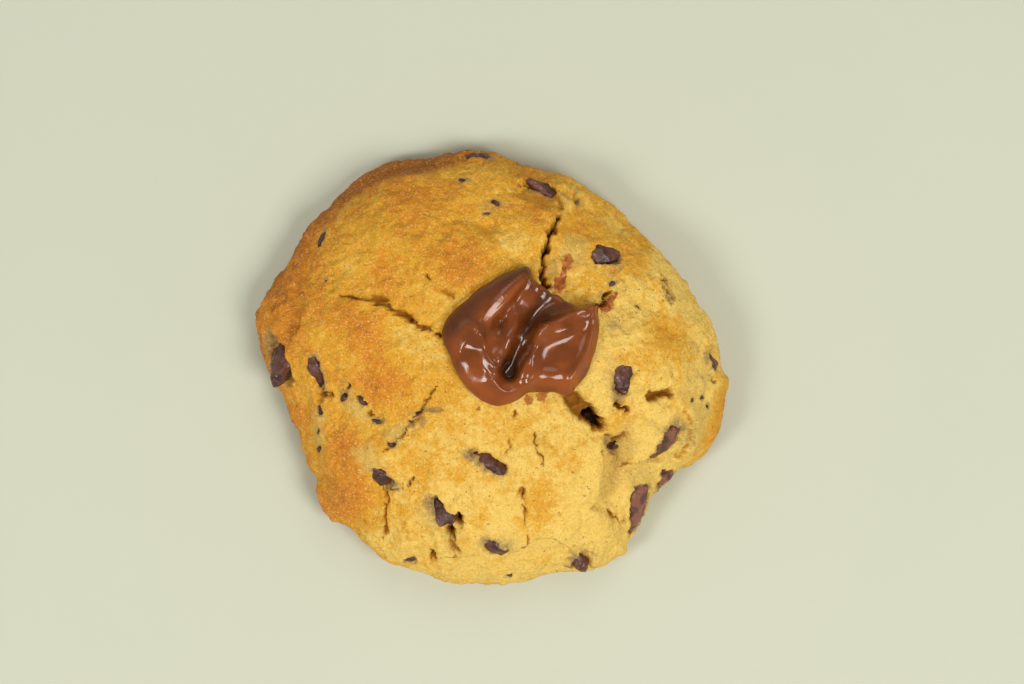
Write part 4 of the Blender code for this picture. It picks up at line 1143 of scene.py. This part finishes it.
def chunk_material():
    """Dark broken chocolate, dull where dough and crumbs cling to it."""
    tree = Tree("dark_chocolate")
    bare = tree.mix(tree.field("fresh"), CHUNK_MID, CHUNK_FRESH)
    shaded = tree.mix(0.72, bare, CHUNK_DARK)
    colour = tree.mix(tree.span(tree.noise(2.4, 2.0), 0.38, 0.56), shaded, bare)
    cling = tree.sum(tree.noise(0.8, 4.0, 0.7), tree.sum(tree.field("rim"), 0.2, "MULTIPLY"))
    dusty = tree.span(cling, 0.72, 0.84, 0.0, 0.6)
    colour = tree.mix(dusty, colour, CHUNK_DUSTY)
    roughness = tree.span(tree.noise(0.8, 2.0), 0.35, 0.65, 0.22, 0.55)
    relief = tree.bump(tree.noise(0.3, 2.0, 0.6), 0.06, before=tree.bump(tree.noise(1.1, 2.0, 0.5), 0.35))
    return tree.finish(Base_Color=colour, Roughness=roughness, Normal=relief, Specular_IOR_Level=0.5)


BLOCK_MARGIN = 1.2
FRESHLY_BROKEN = ("chunk_lower_right", "chunk_rim_right", "chunk_rim_corner")
DULL_SHARE = 0.15
dark_chocolate = chunk_material()
for seed, (chunk, place) in enumerate(zip(CHUNKS, chunk_frames)):
    node, _, _, length, width, _, thickness, rise, taper, bend = chunk
    size = (length + BLOCK_MARGIN, width + BLOCK_MARGIN, thickness)
    fresh = 1.0 if node in FRESHLY_BROKEN else DULL_SHARE
    block = block_mesh(size, taper, bend, seed, BLOCK_CORNERS, BLOCK_CUTS, fresh)
    block.transform(place @ Matrix.Translation((0.0, 0.0, rise - thickness / 2)))
    piece = piece_from(node + "_chocolate", block, dark_chocolate)
    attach(piece, ROOT)
    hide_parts(node)
print("chunks:", len(CHUNKS))


# %% The small chips, as one piece
def joined(meshes, name):
    """Several meshes as one."""
    made = bmesh.new()
    for mesh in meshes:
        made.from_mesh(mesh)
        bpy.data.meshes.remove(mesh)
    together = bpy.data.meshes.new(name)
    made.to_mesh(together)
    made.free()
    return together


CHIP_MARGIN = 0.4
FIRST_CHIP_SEED = 100
chips = []
for seed, ((_, _, length, width, _), place) in enumerate(zip(CHIPS, chip_frames)):
    size = (length + CHIP_MARGIN, width + CHIP_MARGIN, CHIP_THICKNESS)
    chip = block_mesh(size, 0.0, 0.0, FIRST_CHIP_SEED + seed, CHIP_CORNERS, CHIP_CUTS, 0.0)
    chip.transform(place @ Matrix.Translation((0.0, 0.0, CHIP_RISE - CHIP_THICKNESS / 2)))
    chips.append(chip)
chips_piece = piece_from("small_chips", joined(chips, "small_chips"), dark_chocolate)
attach(chips_piece, ROOT)
print("chips:", len(chips), "faces:", len(chips_piece.data.polygons))

# %% [markdown]
# ## The dollop of milk chocolate
# A spoon pulled the soft chocolate twice, so it has a tall ridge on the left, a plate with a turned-up
# rim on the right, and a deep valley between them. It is a round grid again: the outline is read at each
# angle, the edge rolls down to the dough like a drop, and each ridge is a line with its own fall on
# either side. Where the spoon slid along a ridge it left a bevel, an even slope on the ridge's left.

# %% Driving sizes of the dollop, in millimetres
DOLLOP_THICKNESS = 2.4
DOLLOP_SINK = 0.5
DOLLOP_SQUARENESS = 3.8
DOLLOP_THINNEST = 0.4
BEVEL_SLOPE = 0.32
CREST_COMBS = 24
CREST_COMB_DEPTH = 0.03
CREST_COMB_REACH = 1.7
COMB_WANDER = 2.0
DOLLOP_BUMP = 3.0
DOLLOP_BUMP_HEIGHT = 0.10
DOLLOP_LEAST_EDGE = 0.2

# %% Ridges of the dollop: points, fall left, fall right, height at start and end, sharpness, bevel
DOLLOP_RIDGES = (
    (((7.4, 19.0), (5.4, 16.7), (3.1, 14.0), (1.2, 12.1), (-0.2, 10.5), (-1.2, 8.9), (-2.2, 7.4)),
     2.1, 3.2, 3.2, 2.2, 2.2, 1.0),
    (((-2.2, 7.4), (-3.9, 8.1), (-5.0, 7.0), (-6.0, 5.8)), 1.0, 0.8, 0.7, 0.4, 1.8, 0.0),
    (((7.1, 15.6), (5.5, 13.2), (3.9, 11.0), (2.3, 9.0)), 0.8, 0.8, -1.0, -0.8, 1.8, 0.0),
    (((5.0, 9.8), (5.1, 8.0), (4.7, 6.0), (3.9, 4.0), (3.1, 2.0), (2.7, 0.4)),
     0.6, 1.7, 1.3, 1.6, 1.3, 0.0),
    (((11.8, 12.0), (8.6, 9.8), (6.9, 6.6), (5.4, 3.5), (4.2, 0.8), (3.6, -0.9)),
     1.4, 1.5, -1.0, -2.6, 2.1, 0.0),
    (((18.6, 11.0), (16.5, 10.2), (14.3, 9.3), (12.0, 8.3), (9.8, 7.5)), 1.4, 0.8, 1.6, 2.0, 2.0, 1.6),
    (((9.8, 7.5), (8.5, 5.4), (8.0, 3.0), (7.0, 1.0), (5.6, -1.0)), 1.4, 0.7, 1.6, 0.7, 1.8, 0.0),
    (((19.3, 12.4), (19.3, 9.0), (19.0, 6.0), (18.4, 3.6), (17.3, 1.4), (15.7, -0.6), (15.0, -2.9)),
     0.9, 0.9, 1.5, 1.1, 1.6, 0.0),
    (((0.8, -2.2), (2.0, -3.9), (3.5, -4.6), (5.1, -3.9), (6.4, -3.5), (7.7, -2.4), (8.0, -1.0), (7.9, 2.4)),
     0.7, 1.2, 0.9, 0.6, 1.5, 0.0),
    (((15.4, -2.0), (13.0, -2.3), (10.2, -2.3), (7.6, -2.0)), 1.5, 2.2, 0.6, 1.1, 2.0, 1.2),
    (((-1.6, 6.2), (-1.0, 4.5), (-0.3, 2.0), (1.0, 0.1)), 0.7, 1.3, 0.7, 0.8, 1.6, 0.0),
    (((8.0, 15.6), (9.4, 15.0), (11.5, 13.4), (14.3, 11.9), (17.6, 10.4)), 0.6, 0.9, 1.0, 0.6, 1.6, 0.0),
)
print("dollop ridges:", len(DOLLOP_RIDGES))

# %% Swellings and hollows of the dollop: x, y, radius, height
DOLLOP_SWELLS = (
    (-3.2, 2.4, 6.0, 1.5),
    (0.6, -3.2, 4.0, 0.6),
    (14.4, 2.0, 5.6, 0.7),
    (3.7, -0.9, 1.2, -1.6),
    (1.8, 8.2, 1.0, -1.3),
    (2.8, 5.6, 1.4, 0.5),
    (1.6, 1.7, 0.8, 0.5),
    (10.2, 14.4, 1.1, 0.5),
)
print("dollop swells:", len(DOLLOP_SWELLS))


# %% The form of the dollop
def dollop_relief(x, y):
    """How the smears and the hole change the dollop's thickness."""
    change = np.zeros(x.shape)
    for line, fall_left, fall_right, start, end, sharpness, bevel in DOLLOP_RIDGES:
        distance, along, side = line_field(x, y, rounded_line(line))
        fall = np.where(side > 0.0, fall_left, fall_right)
        height = start + (end - start) * along
        shoulder = np.where(side > 0.0, np.minimum(distance, bevel), 0.0)
        height = height - BEVEL_SLOPE * shoulder
        change = change + height * np.exp(-((distance - shoulder) / fall) ** sharpness)
    for sx, sy, radius, height in DOLLOP_SWELLS:
        change = change + height * bell(np.hypot(x - sx, y - sy), radius)
    return change


def dough_floor(x, y):
    """Height of the dough that the dollop rests on."""
    points = np.stack([x, y, dome_height(x, y)], axis=1)
    return points[:, 2] + coarse_relief(points)


def beside_centre(radius, angles):
    """The plan places at each distance and angle from the dollop's centre."""
    turns = np.radians(angles)
    return DOLLOP_CENTRE[0] + radius * np.cos(turns), DOLLOP_CENTRE[1] + radius * np.sin(turns)


def dollop_points(reach, angles):
    """The upper and lower points of the dollop."""
    turn = reach * math.pi / 2
    power = 2.0 / DOLLOP_SQUARENESS
    x, y = beside_centre(dollop_radius(angles) * np.sin(turn) ** power, angles)
    flat = np.stack([x, y, np.zeros(x.shape)], axis=1)
    thick = np.maximum(DOLLOP_THICKNESS + dollop_relief(x, y), DOLLOP_THINNEST) + DOLLOP_SINK
    crest, along, _ = line_field(x, y, rounded_line(DOLLOP_RIDGES[0][0]))
    teeth = np.sin(math.tau * CREST_COMBS * along + COMB_WANDER * noise_at(flat, 1.0))
    combed = teeth * bell(crest, CREST_COMB_REACH)
    thick = thick + DOLLOP_BUMP_HEIGHT * noise_at(flat, DOLLOP_BUMP) + CREST_COMB_DEPTH * combed
    floor = dough_floor(x, y) - DOLLOP_SINK - INSET
    edge = DOLLOP_LEAST_EDGE + (1.0 - DOLLOP_LEAST_EDGE) * np.abs(np.cos(turn)) ** power
    low_x, low_y = beside_centre(dollop_radius(angles) * reach, angles)
    low_z = dough_floor(low_x, low_y) - DOLLOP_SINK
    return np.stack([x, y, floor + thick * edge], axis=1), np.stack([low_x, low_y, low_z], axis=1)


def closed_grid(name, count, upper, lower):
    """A closed mesh of two grids of points that share their border."""
    quads, border = grid_faces(count)
    on_border = np.zeros(len(upper), dtype=bool)
    on_border[border] = True
    lower_index = np.where(on_border, np.arange(len(upper)), 0)
    lower_index[~on_border] = len(upper) + np.arange(int((~on_border).sum()))
    points = np.concatenate([upper, lower[~on_border]])
    under = lower_index[quads][:, ::-1]
    return mesh_from(name, points, np.concatenate([quads, under]).tolist())


DOLLOP_GRID = 180
upper, lower = dollop_points(*square_to_disc(DOLLOP_GRID))
dollop = closed_grid("dollop", DOLLOP_GRID, upper, lower)
print("dollop top:", round(float(upper[:, 2].max()), 2), "mm")

# %% Painted shade and painted light on the dollop: points, reach, amount
DOLLOP_PAINTED_LIGHT_AND_SHADE = (
    # Negative: painted shade in valleys and on slopes turned from the lights. Positive: painted light on lit
    # rims.
    (((6.8, 18.6), (3.0, 16.4), (-1.0, 13.8), (-5.0, 9.8), (-7.6, 6.6)), 2.4, -0.55),
    (((10.6, 12.6), (8.6, 10.4), (7.0, 7.4), (5.6, 3.6), (3.8, -0.4)), 1.8, -0.7),
    (((3.4, 0.4), (3.6, -1.0)), 1.2, -0.9),
    (((13.6, 11.2), (10.8, 9.0)), 1.4, -0.5),
    (((1.8, 8.2), (2.6, 6.6)), 1.2, -0.4),
    (((6.0, 15.8), (2.6, 12.2), (-0.4, 8.8)), 1.1, 0.7),
    (((9.0, -2.6), (15.0, -2.8)), 1.6, 0.6),
    (((19.4, 7.0), (18.4, 2.6), (15.8, -1.6)), 1.2, 0.5),
    (((-4.0, -1.6), (0.0, -5.4), (4.4, -5.8)), 2.2, 0.45),
)


def streakiness(points):
    """How much painted shade (below nothing) or painted light (above nothing) the chocolate gets at each
    point.
    """
    total = np.zeros(len(points))
    for line, reach, amount in DOLLOP_PAINTED_LIGHT_AND_SHADE:
        distance, _, _ = line_field(points[:, 0], points[:, 1], rounded_line(line))
        total = total + amount * bell(distance, reach)
    return np.clip(total, -1.0, 1.0)


write_field(dollop, "streak", streakiness(np.array([vertex.co for vertex in dollop.vertices])))

# %% Colours of the milk chocolate
MILK_LIGHT = (0.25, 0.060, 0.011, 1.0)
MILK_DARK = (0.16, 0.037, 0.007, 1.0)
# The next two are painted shade and painted light, not colours of the chocolate itself.
MILK_PAINTED_SHADE = (0.045, 0.013, 0.004, 1.0)
MILK_PAINTED_LIGHT = (0.34, 0.082, 0.014, 1.0)


def milk_material():
    """Glossy milk chocolate with faint spoon marks, painted shade in its valleys and painted light on its
    rims.
    """
    tree = Tree("milk_chocolate")
    colour = tree.mix(tree.span(tree.noise(4.5, 3.0), 0.35, 0.65), MILK_DARK, MILK_LIGHT)
    # Painted shade where the field is below nothing, painted light where it is above.
    colour = tree.mix(tree.span(tree.field("streak"), 0.0, -1.0), colour, MILK_PAINTED_SHADE)
    colour = tree.mix(tree.span(tree.field("streak"), 0.0, 1.0), colour, MILK_PAINTED_LIGHT)
    roughness = tree.span(tree.noise(1.6, 2.0), 0.35, 0.7, 0.1, 0.17)
    marks = tree.noise(0.35, 2.0, 0.5, stretch=(1.0, 0.1, 1.0))
    relief = tree.bump(marks, 0.002)
    return tree.finish(Base_Color=colour, Roughness=roughness, Normal=relief, IOR=1.46,
                       Subsurface_Weight=0.06, Subsurface_Radius=(1.0, 0.3, 0.1),
                       Subsurface_Scale=0.001)


milk_chocolate = milk_material()
dollop_piece = piece_from("milk_chocolate_dollop", dollop, milk_chocolate)
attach(dollop_piece, ROOT)
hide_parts("chocolate_dollop")
print("dollop faces:", len(dollop.polygons))

# %% [markdown]
# ## Thin smears beside the dollop
# Where the spoon touched the dough it left thin traces. Each is a narrow strip that follows the bumps under
# it: a line on the plan, two widths, and a height read off the dough at every point. Colour alone would stay
# matte and flat there, and a real trace shines. The crumb shows through where the chocolate is thinnest, so
# its colour is redder than the dollop's.

# %% Smears: points, width at the start, width at the end
SMEARS = (
    (((14.3, 20.6), (13.9, 17.9), (13.2, 15.7), (12.5, 13.3)), 0.7, 2.2),
    (((23.6, 14.0), (22.2, 12.2), (20.2, 10.6)), 1.0, 2.4),
)
SMEAR_THICKNESS = 0.06
SMEAR_EDGE_DEPTH = 0.1
SMEAR_ROOT_DEPTH = 0.3
SMEAR_GRID = 30
# Uneven width and uneven thickness: size of the waves, and how strong they are
SMEAR_SIDE_WAVE = (0.9, 0.5)
SMEAR_TOP_WAVE = (0.7, 0.6)
SMEAR_THIN = (0.50, 0.13, 0.016, 1.0)


def height_on_dough(x, y):
    """Height of the finished dough under each point of the plan."""
    down = Vector((0.0, 0.0, -1.0))
    spots = [dough_tree.ray_cast(Vector((a, b, 2 * DOUGH_HEIGHT)), down)[0] for a, b in zip(x, y)]
    return np.array([spot.z for spot in spots])


def smear_mesh(line, start_width, end_width):
    """A closed strip of chocolate that thins out to its edges."""
    bends = np.array(rounded_line(line, 3))
    run = np.concatenate([[0.0], np.cumsum(np.hypot(*np.diff(bends, axis=0).T))])
    ticks = np.linspace(0.0, 1.0, SMEAR_GRID + 1)
    middle = np.stack([np.interp(ticks * run[-1], run, bends[:, k]) for k in range(2)], axis=1)
    ahead = np.gradient(middle, axis=0)
    aside = np.stack([-ahead[:, 1], ahead[:, 0]], axis=1) / np.hypot(ahead[:, 0], ahead[:, 1])[:, None]
    share, across = (field.ravel() for field in np.meshgrid(ticks, 2 * ticks - 1, indexing="ij"))
    row = np.repeat(np.arange(SMEAR_GRID + 1), SMEAR_GRID + 1)
    taper = np.sqrt(1.0 - np.abs(2 * share - 1.0) ** 5 * 0.98)
    flat = np.stack([middle[row, 0], middle[row, 1], np.zeros(len(row))], axis=1)
    half = 0.5 * (start_width + (end_width - start_width) * share) * taper
    other_side = np.sign(across)[:, None] * 9.0
    half = half * (1.0 + SMEAR_SIDE_WAVE[1] * noise_at(flat + other_side, SMEAR_SIDE_WAVE[0], 2))
    x = middle[row, 0] + aside[row, 0] * half * across
    y = middle[row, 1] + aside[row, 1] * half * across
    surface = height_on_dough(x, y)
    bulge = np.sqrt(np.clip((1.0 - across ** 4) * (1.0 - (2 * share - 1.0) ** 8), 0.0, 1.0))
    wavy = 1.0 + SMEAR_TOP_WAVE[1] * noise_at(np.stack([x, y, surface], axis=1), SMEAR_TOP_WAVE[0], 2)
    rise = (SMEAR_THICKNESS + SMEAR_EDGE_DEPTH) * bulge * wavy
    upper = np.stack([x, y, surface - SMEAR_EDGE_DEPTH + rise], axis=1)
    lower = np.stack([x, y, surface - SMEAR_ROOT_DEPTH], axis=1)
    return closed_grid("smear", SMEAR_GRID, upper, lower)


def smear_material():
    """Milk chocolate so thin that the crumb beneath warms it."""
    tree = Tree("thin_chocolate")
    colour = tree.mix(tree.span(tree.noise(0.9, 3.0, 0.6), 0.32, 0.58), MILK_DARK, SMEAR_THIN)
    relief = tree.bump(tree.noise(0.5, 2.0), 0.12)
    return tree.finish(Base_Color=colour, Roughness=0.28, Normal=relief, IOR=1.46)


smears = joined([smear_mesh(*smear) for smear in SMEARS], "chocolate_smears")
smears_piece = piece_from("chocolate_smears", smears, smear_material())
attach(smears_piece, ROOT)
print("smears:", len(SMEARS))

# %% [markdown]
# ## Crumbs
# The crust is not smooth: flour and sugar stand up as grains of a few tenths of a millimetre. Their number is
# far too high to place by hand, so Geometry Nodes scatters them over the dough by a density that is
# stored in its mesh. Each grain is a ball of twenty faces, pressed and turned by chance.

# %% Where crumbs may lie
CRUMB_RADIUS = 0.17
CRUMB_DENSITY = 0.9
CRUMB_SEED = 11
CRUMB_CLEARANCE = 0.5
CRUMB_LEAST = (0.5, 0.5, 0.4)
CRUMB_MOST = (1.5, 1.3, 1.0)


def crumbliness(points):
    """How thickly crumbs lie at each point: none under the dollop, on chocolate or at the widest rim."""
    open_dough = smooth_step(0.0, 0.5, beside_dollop(points[:, 0], points[:, 1]))
    off_chunks = fading(pocket, 0.1, 0.4)
    above_floor = smooth_step(1.0, 3.0, points[:, 2])
    x = points[:, 0] + PLAN_MOVE[0]
    y = points[:, 1] + PLAN_MOVE[1]
    spare = np.minimum(solid_high[0] / MM - np.abs(x), solid_high[1] / MM - np.abs(y))
    patches = patchy(points, 5.0, 2, 90.0, 0.6, 1.2, 0.15, 1.6)
    return open_dough * off_chunks * above_floor * patches * (spare > CRUMB_CLEARANCE)


# %% The nodes that scatter the crumbs
def crumb_nodes():
    """A node group: density, size, seed and material in, realized crumbs out."""
    group = bpy.data.node_groups.new("crumbs", "GeometryNodeTree")
    face = group.interface
    face.new_socket("Geometry", in_out="INPUT", socket_type="NodeSocketGeometry")
    inputs = {
        "density": face.new_socket("Crumbs per square metre", in_out="INPUT", socket_type="NodeSocketFloat"),
        "radius": face.new_socket("Crumb radius", in_out="INPUT", socket_type="NodeSocketFloat"),
        "seed": face.new_socket("Seed", in_out="INPUT", socket_type="NodeSocketInt"),
        "material": face.new_socket("Material", in_out="INPUT", socket_type="NodeSocketMaterial"),
    }
    face.new_socket("Geometry", in_out="OUTPUT", socket_type="NodeSocketGeometry")
    new, link = group.nodes.new, group.links.new
    start, end = new("NodeGroupInput"), new("NodeGroupOutput")
    where = new("GeometryNodeInputNamedAttribute")
    where.data_type = "FLOAT"
    where.inputs["Name"].default_value = "crumbly"
    amount = new("ShaderNodeMath")
    amount.operation = "MULTIPLY"
    scatter = new("GeometryNodeDistributePointsOnFaces")
    ball = new("GeometryNodeMeshIcoSphere")
    ball.inputs["Subdivisions"].default_value = 1
    turn = new("FunctionNodeRandomValue")
    turn.data_type = "FLOAT_VECTOR"
    turn.inputs["Max"].default_value = (math.tau, math.tau, math.tau)
    press = new("FunctionNodeRandomValue")
    press.data_type = "FLOAT_VECTOR"
    press.inputs["Min"].default_value = CRUMB_LEAST
    press.inputs["Max"].default_value = CRUMB_MOST
    place = new("GeometryNodeInstanceOnPoints")
    real = new("GeometryNodeRealizeInstances")
    paint = new("GeometryNodeSetMaterial")
    link(start.outputs["Crumbs per square metre"], amount.inputs[0])
    link(where.outputs["Attribute"], amount.inputs[1])
    link(start.outputs["Geometry"], scatter.inputs["Mesh"])
    link(amount.outputs["Value"], scatter.inputs["Density"])
    link(start.outputs["Seed"], scatter.inputs["Seed"])
    link(start.outputs["Crumb radius"], ball.inputs["Radius"])
    link(start.outputs["Seed"], turn.inputs["Seed"])
    link(scatter.outputs["Points"], place.inputs["Points"])
    link(ball.outputs["Mesh"], place.inputs["Instance"])
    link(turn.outputs["Value"], place.inputs["Rotation"])
    link(press.outputs["Value"], place.inputs["Scale"])
    link(place.outputs["Instances"], real.inputs["Geometry"])
    link(real.outputs["Geometry"], paint.inputs["Geometry"])
    link(start.outputs["Material"], paint.inputs["Material"])
    link(paint.outputs["Geometry"], end.inputs["Geometry"])
    return group, inputs


# %% Crumbs on the dough
write_field(dough, "crumbly", crumbliness(dough_points))
carrier = in_scene("carrier", dough)
group, inputs = crumb_nodes()
scatterer = carrier.modifiers.new("crumbs", "NODES")
scatterer.node_group = group
scatterer[inputs["density"].identifier] = CRUMB_DENSITY / MM ** 2
scatterer[inputs["radius"].identifier] = CRUMB_RADIUS * MM
scatterer[inputs["seed"].identifier] = CRUMB_SEED
scatterer[inputs["material"].identifier] = baked_dough
graph = bpy.context.evaluated_depsgraph_get()
crumbs = bpy.data.meshes.new_from_object(carrier.evaluated_get(graph))
bpy.data.objects.remove(carrier)
crumbs.name = "crumbs"
crumbs.shade_smooth()
crumbs_piece = in_scene("crumbs", crumbs)
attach(crumbs_piece, ROOT)
print("crumb faces:", len(crumbs.polygons), "fields:", [a.name for a in crumbs.attributes])

# %% [markdown]
# ## The floor, the light and the camera
# Three soft lights stand round the cookie: the strongest at the front right, one at the front left and a wide
# weak one behind, under a pale room. The camera looks straight down through a long lens.

# %% Floor
FLOOR_HALF = 0.9
FLOOR_COLOUR = (0.58, 0.60, 0.49, 1.0)
FLOOR_SHADE = tuple(0.96 * c for c in FLOOR_COLOUR[:3]) + (1.0,)
FLOOR_PATCH = 60.0


def floor_piece():
    """A plain pale floor that carries the cookie."""
    made = bmesh.new()
    bmesh.ops.create_grid(made, x_segments=1, y_segments=1, size=FLOOR_HALF)
    mesh = bpy.data.meshes.new("floor")
    made.to_mesh(mesh)
    made.free()
    tree = Tree("pale_floor")
    colour = tree.mix(tree.noise(FLOOR_PATCH, 3.0), FLOOR_COLOUR, FLOOR_SHADE)
    mesh.materials.append(tree.finish(Base_Color=colour, Roughness=0.7))
    piece = in_scene("floor", mesh)


floor_piece()
print("floor:", 2 * FLOOR_HALF, "m wide")

# %% Lights: name, place, size, power, colour
LIGHTS = (
    ("key", (0.42, -0.30, 0.80), 0.38, 5.1, (1.0, 0.98, 0.94)),
    ("side", (-0.50, -0.28, 0.68), 0.26, 3.0, (1.0, 0.98, 0.95)),
    ("back", (0.14, 0.52, 0.80), 0.50, 1.5, (1.0, 0.99, 0.97)),
)
LIGHT_TARGET = (0.0, 0.0, 0.01)


def soft_light(name, place, size, power, colour):
    """A square soft light turned to the cookie."""
    lamp = bpy.data.lights.new(name, "AREA")
    lamp.shape = "SQUARE"
    lamp.size = size
    lamp.energy = power
    lamp.color = colour
    holder = in_scene(name, lamp)
    holder.location = place
    holder.rotation_euler = (Vector(LIGHT_TARGET) - Vector(place)).to_track_quat("-Z", "Y").to_euler()


for light in LIGHTS:
    soft_light(*light)
print("lights:", [name for name, *_ in LIGHTS])

# %% The room: its colours at eye level and overhead, and the heights between which they blend
HORIZON = (0.42, 0.41, 0.34, 1.0)
ZENITH = (0.27, 0.27, 0.23, 1.0)
ROOM_BLEND = (0.35, 0.95)
ROOM_STRENGTH = 0.92


def pale_room():
    """A studio world that is a little darker overhead."""
    world = bpy.data.worlds.new("studio")
    world.use_nodes = True
    room = world.node_tree
    way = room.nodes.new("ShaderNodeTexCoord")
    split = room.nodes.new("ShaderNodeSeparateXYZ")
    fade = room.nodes.new("ShaderNodeMapRange")
    fade.interpolation_type = "SMOOTHSTEP"
    fade.inputs["From Min"].default_value, fade.inputs["From Max"].default_value = ROOM_BLEND
    blend = room.nodes.new("ShaderNodeMix")
    blend.data_type = "RGBA"
    blend.inputs[6].default_value = HORIZON
    blend.inputs[7].default_value = ZENITH
    room.links.new(way.outputs["Generated"], split.inputs["Vector"])
    room.links.new(split.outputs["Z"], fade.inputs["Value"])
    room.links.new(fade.outputs["Result"], blend.inputs[0])
    room.links.new(blend.outputs[2], room.nodes["Background"].inputs["Color"])
    room.nodes["Background"].inputs["Strength"].default_value = ROOM_STRENGTH
    return world


bpy.context.scene.world = pale_room()
bpy.context.scene.view_settings.view_transform = "Standard"
print("room:", bpy.context.scene.world.name)

# %% Camera: millimetres to a pixel at the height of the cookie's rim, and the middle of the view
PIXEL = 0.19
IMAGE_WIDTH = 1024
CAMERA_HEIGHT = 540.0
RIM_HEIGHT = 4.0
VIEW_CENTRE = (4.18, 4.66)
SENSOR = 36.0

camera_data = bpy.data.cameras.new("camera")
camera_data.sensor_width = SENSOR
camera_data.lens = SENSOR * (CAMERA_HEIGHT - RIM_HEIGHT) / (IMAGE_WIDTH * PIXEL)
camera = in_scene("camera", camera_data)
camera.location = ((VIEW_CENTRE[0] + PLAN_MOVE[0]) * MM, (VIEW_CENTRE[1] + PLAN_MOVE[1]) * MM,
                   CAMERA_HEIGHT * MM)
bpy.context.scene.camera = camera
print("lens:", round(camera_data.lens, 1), "mm")
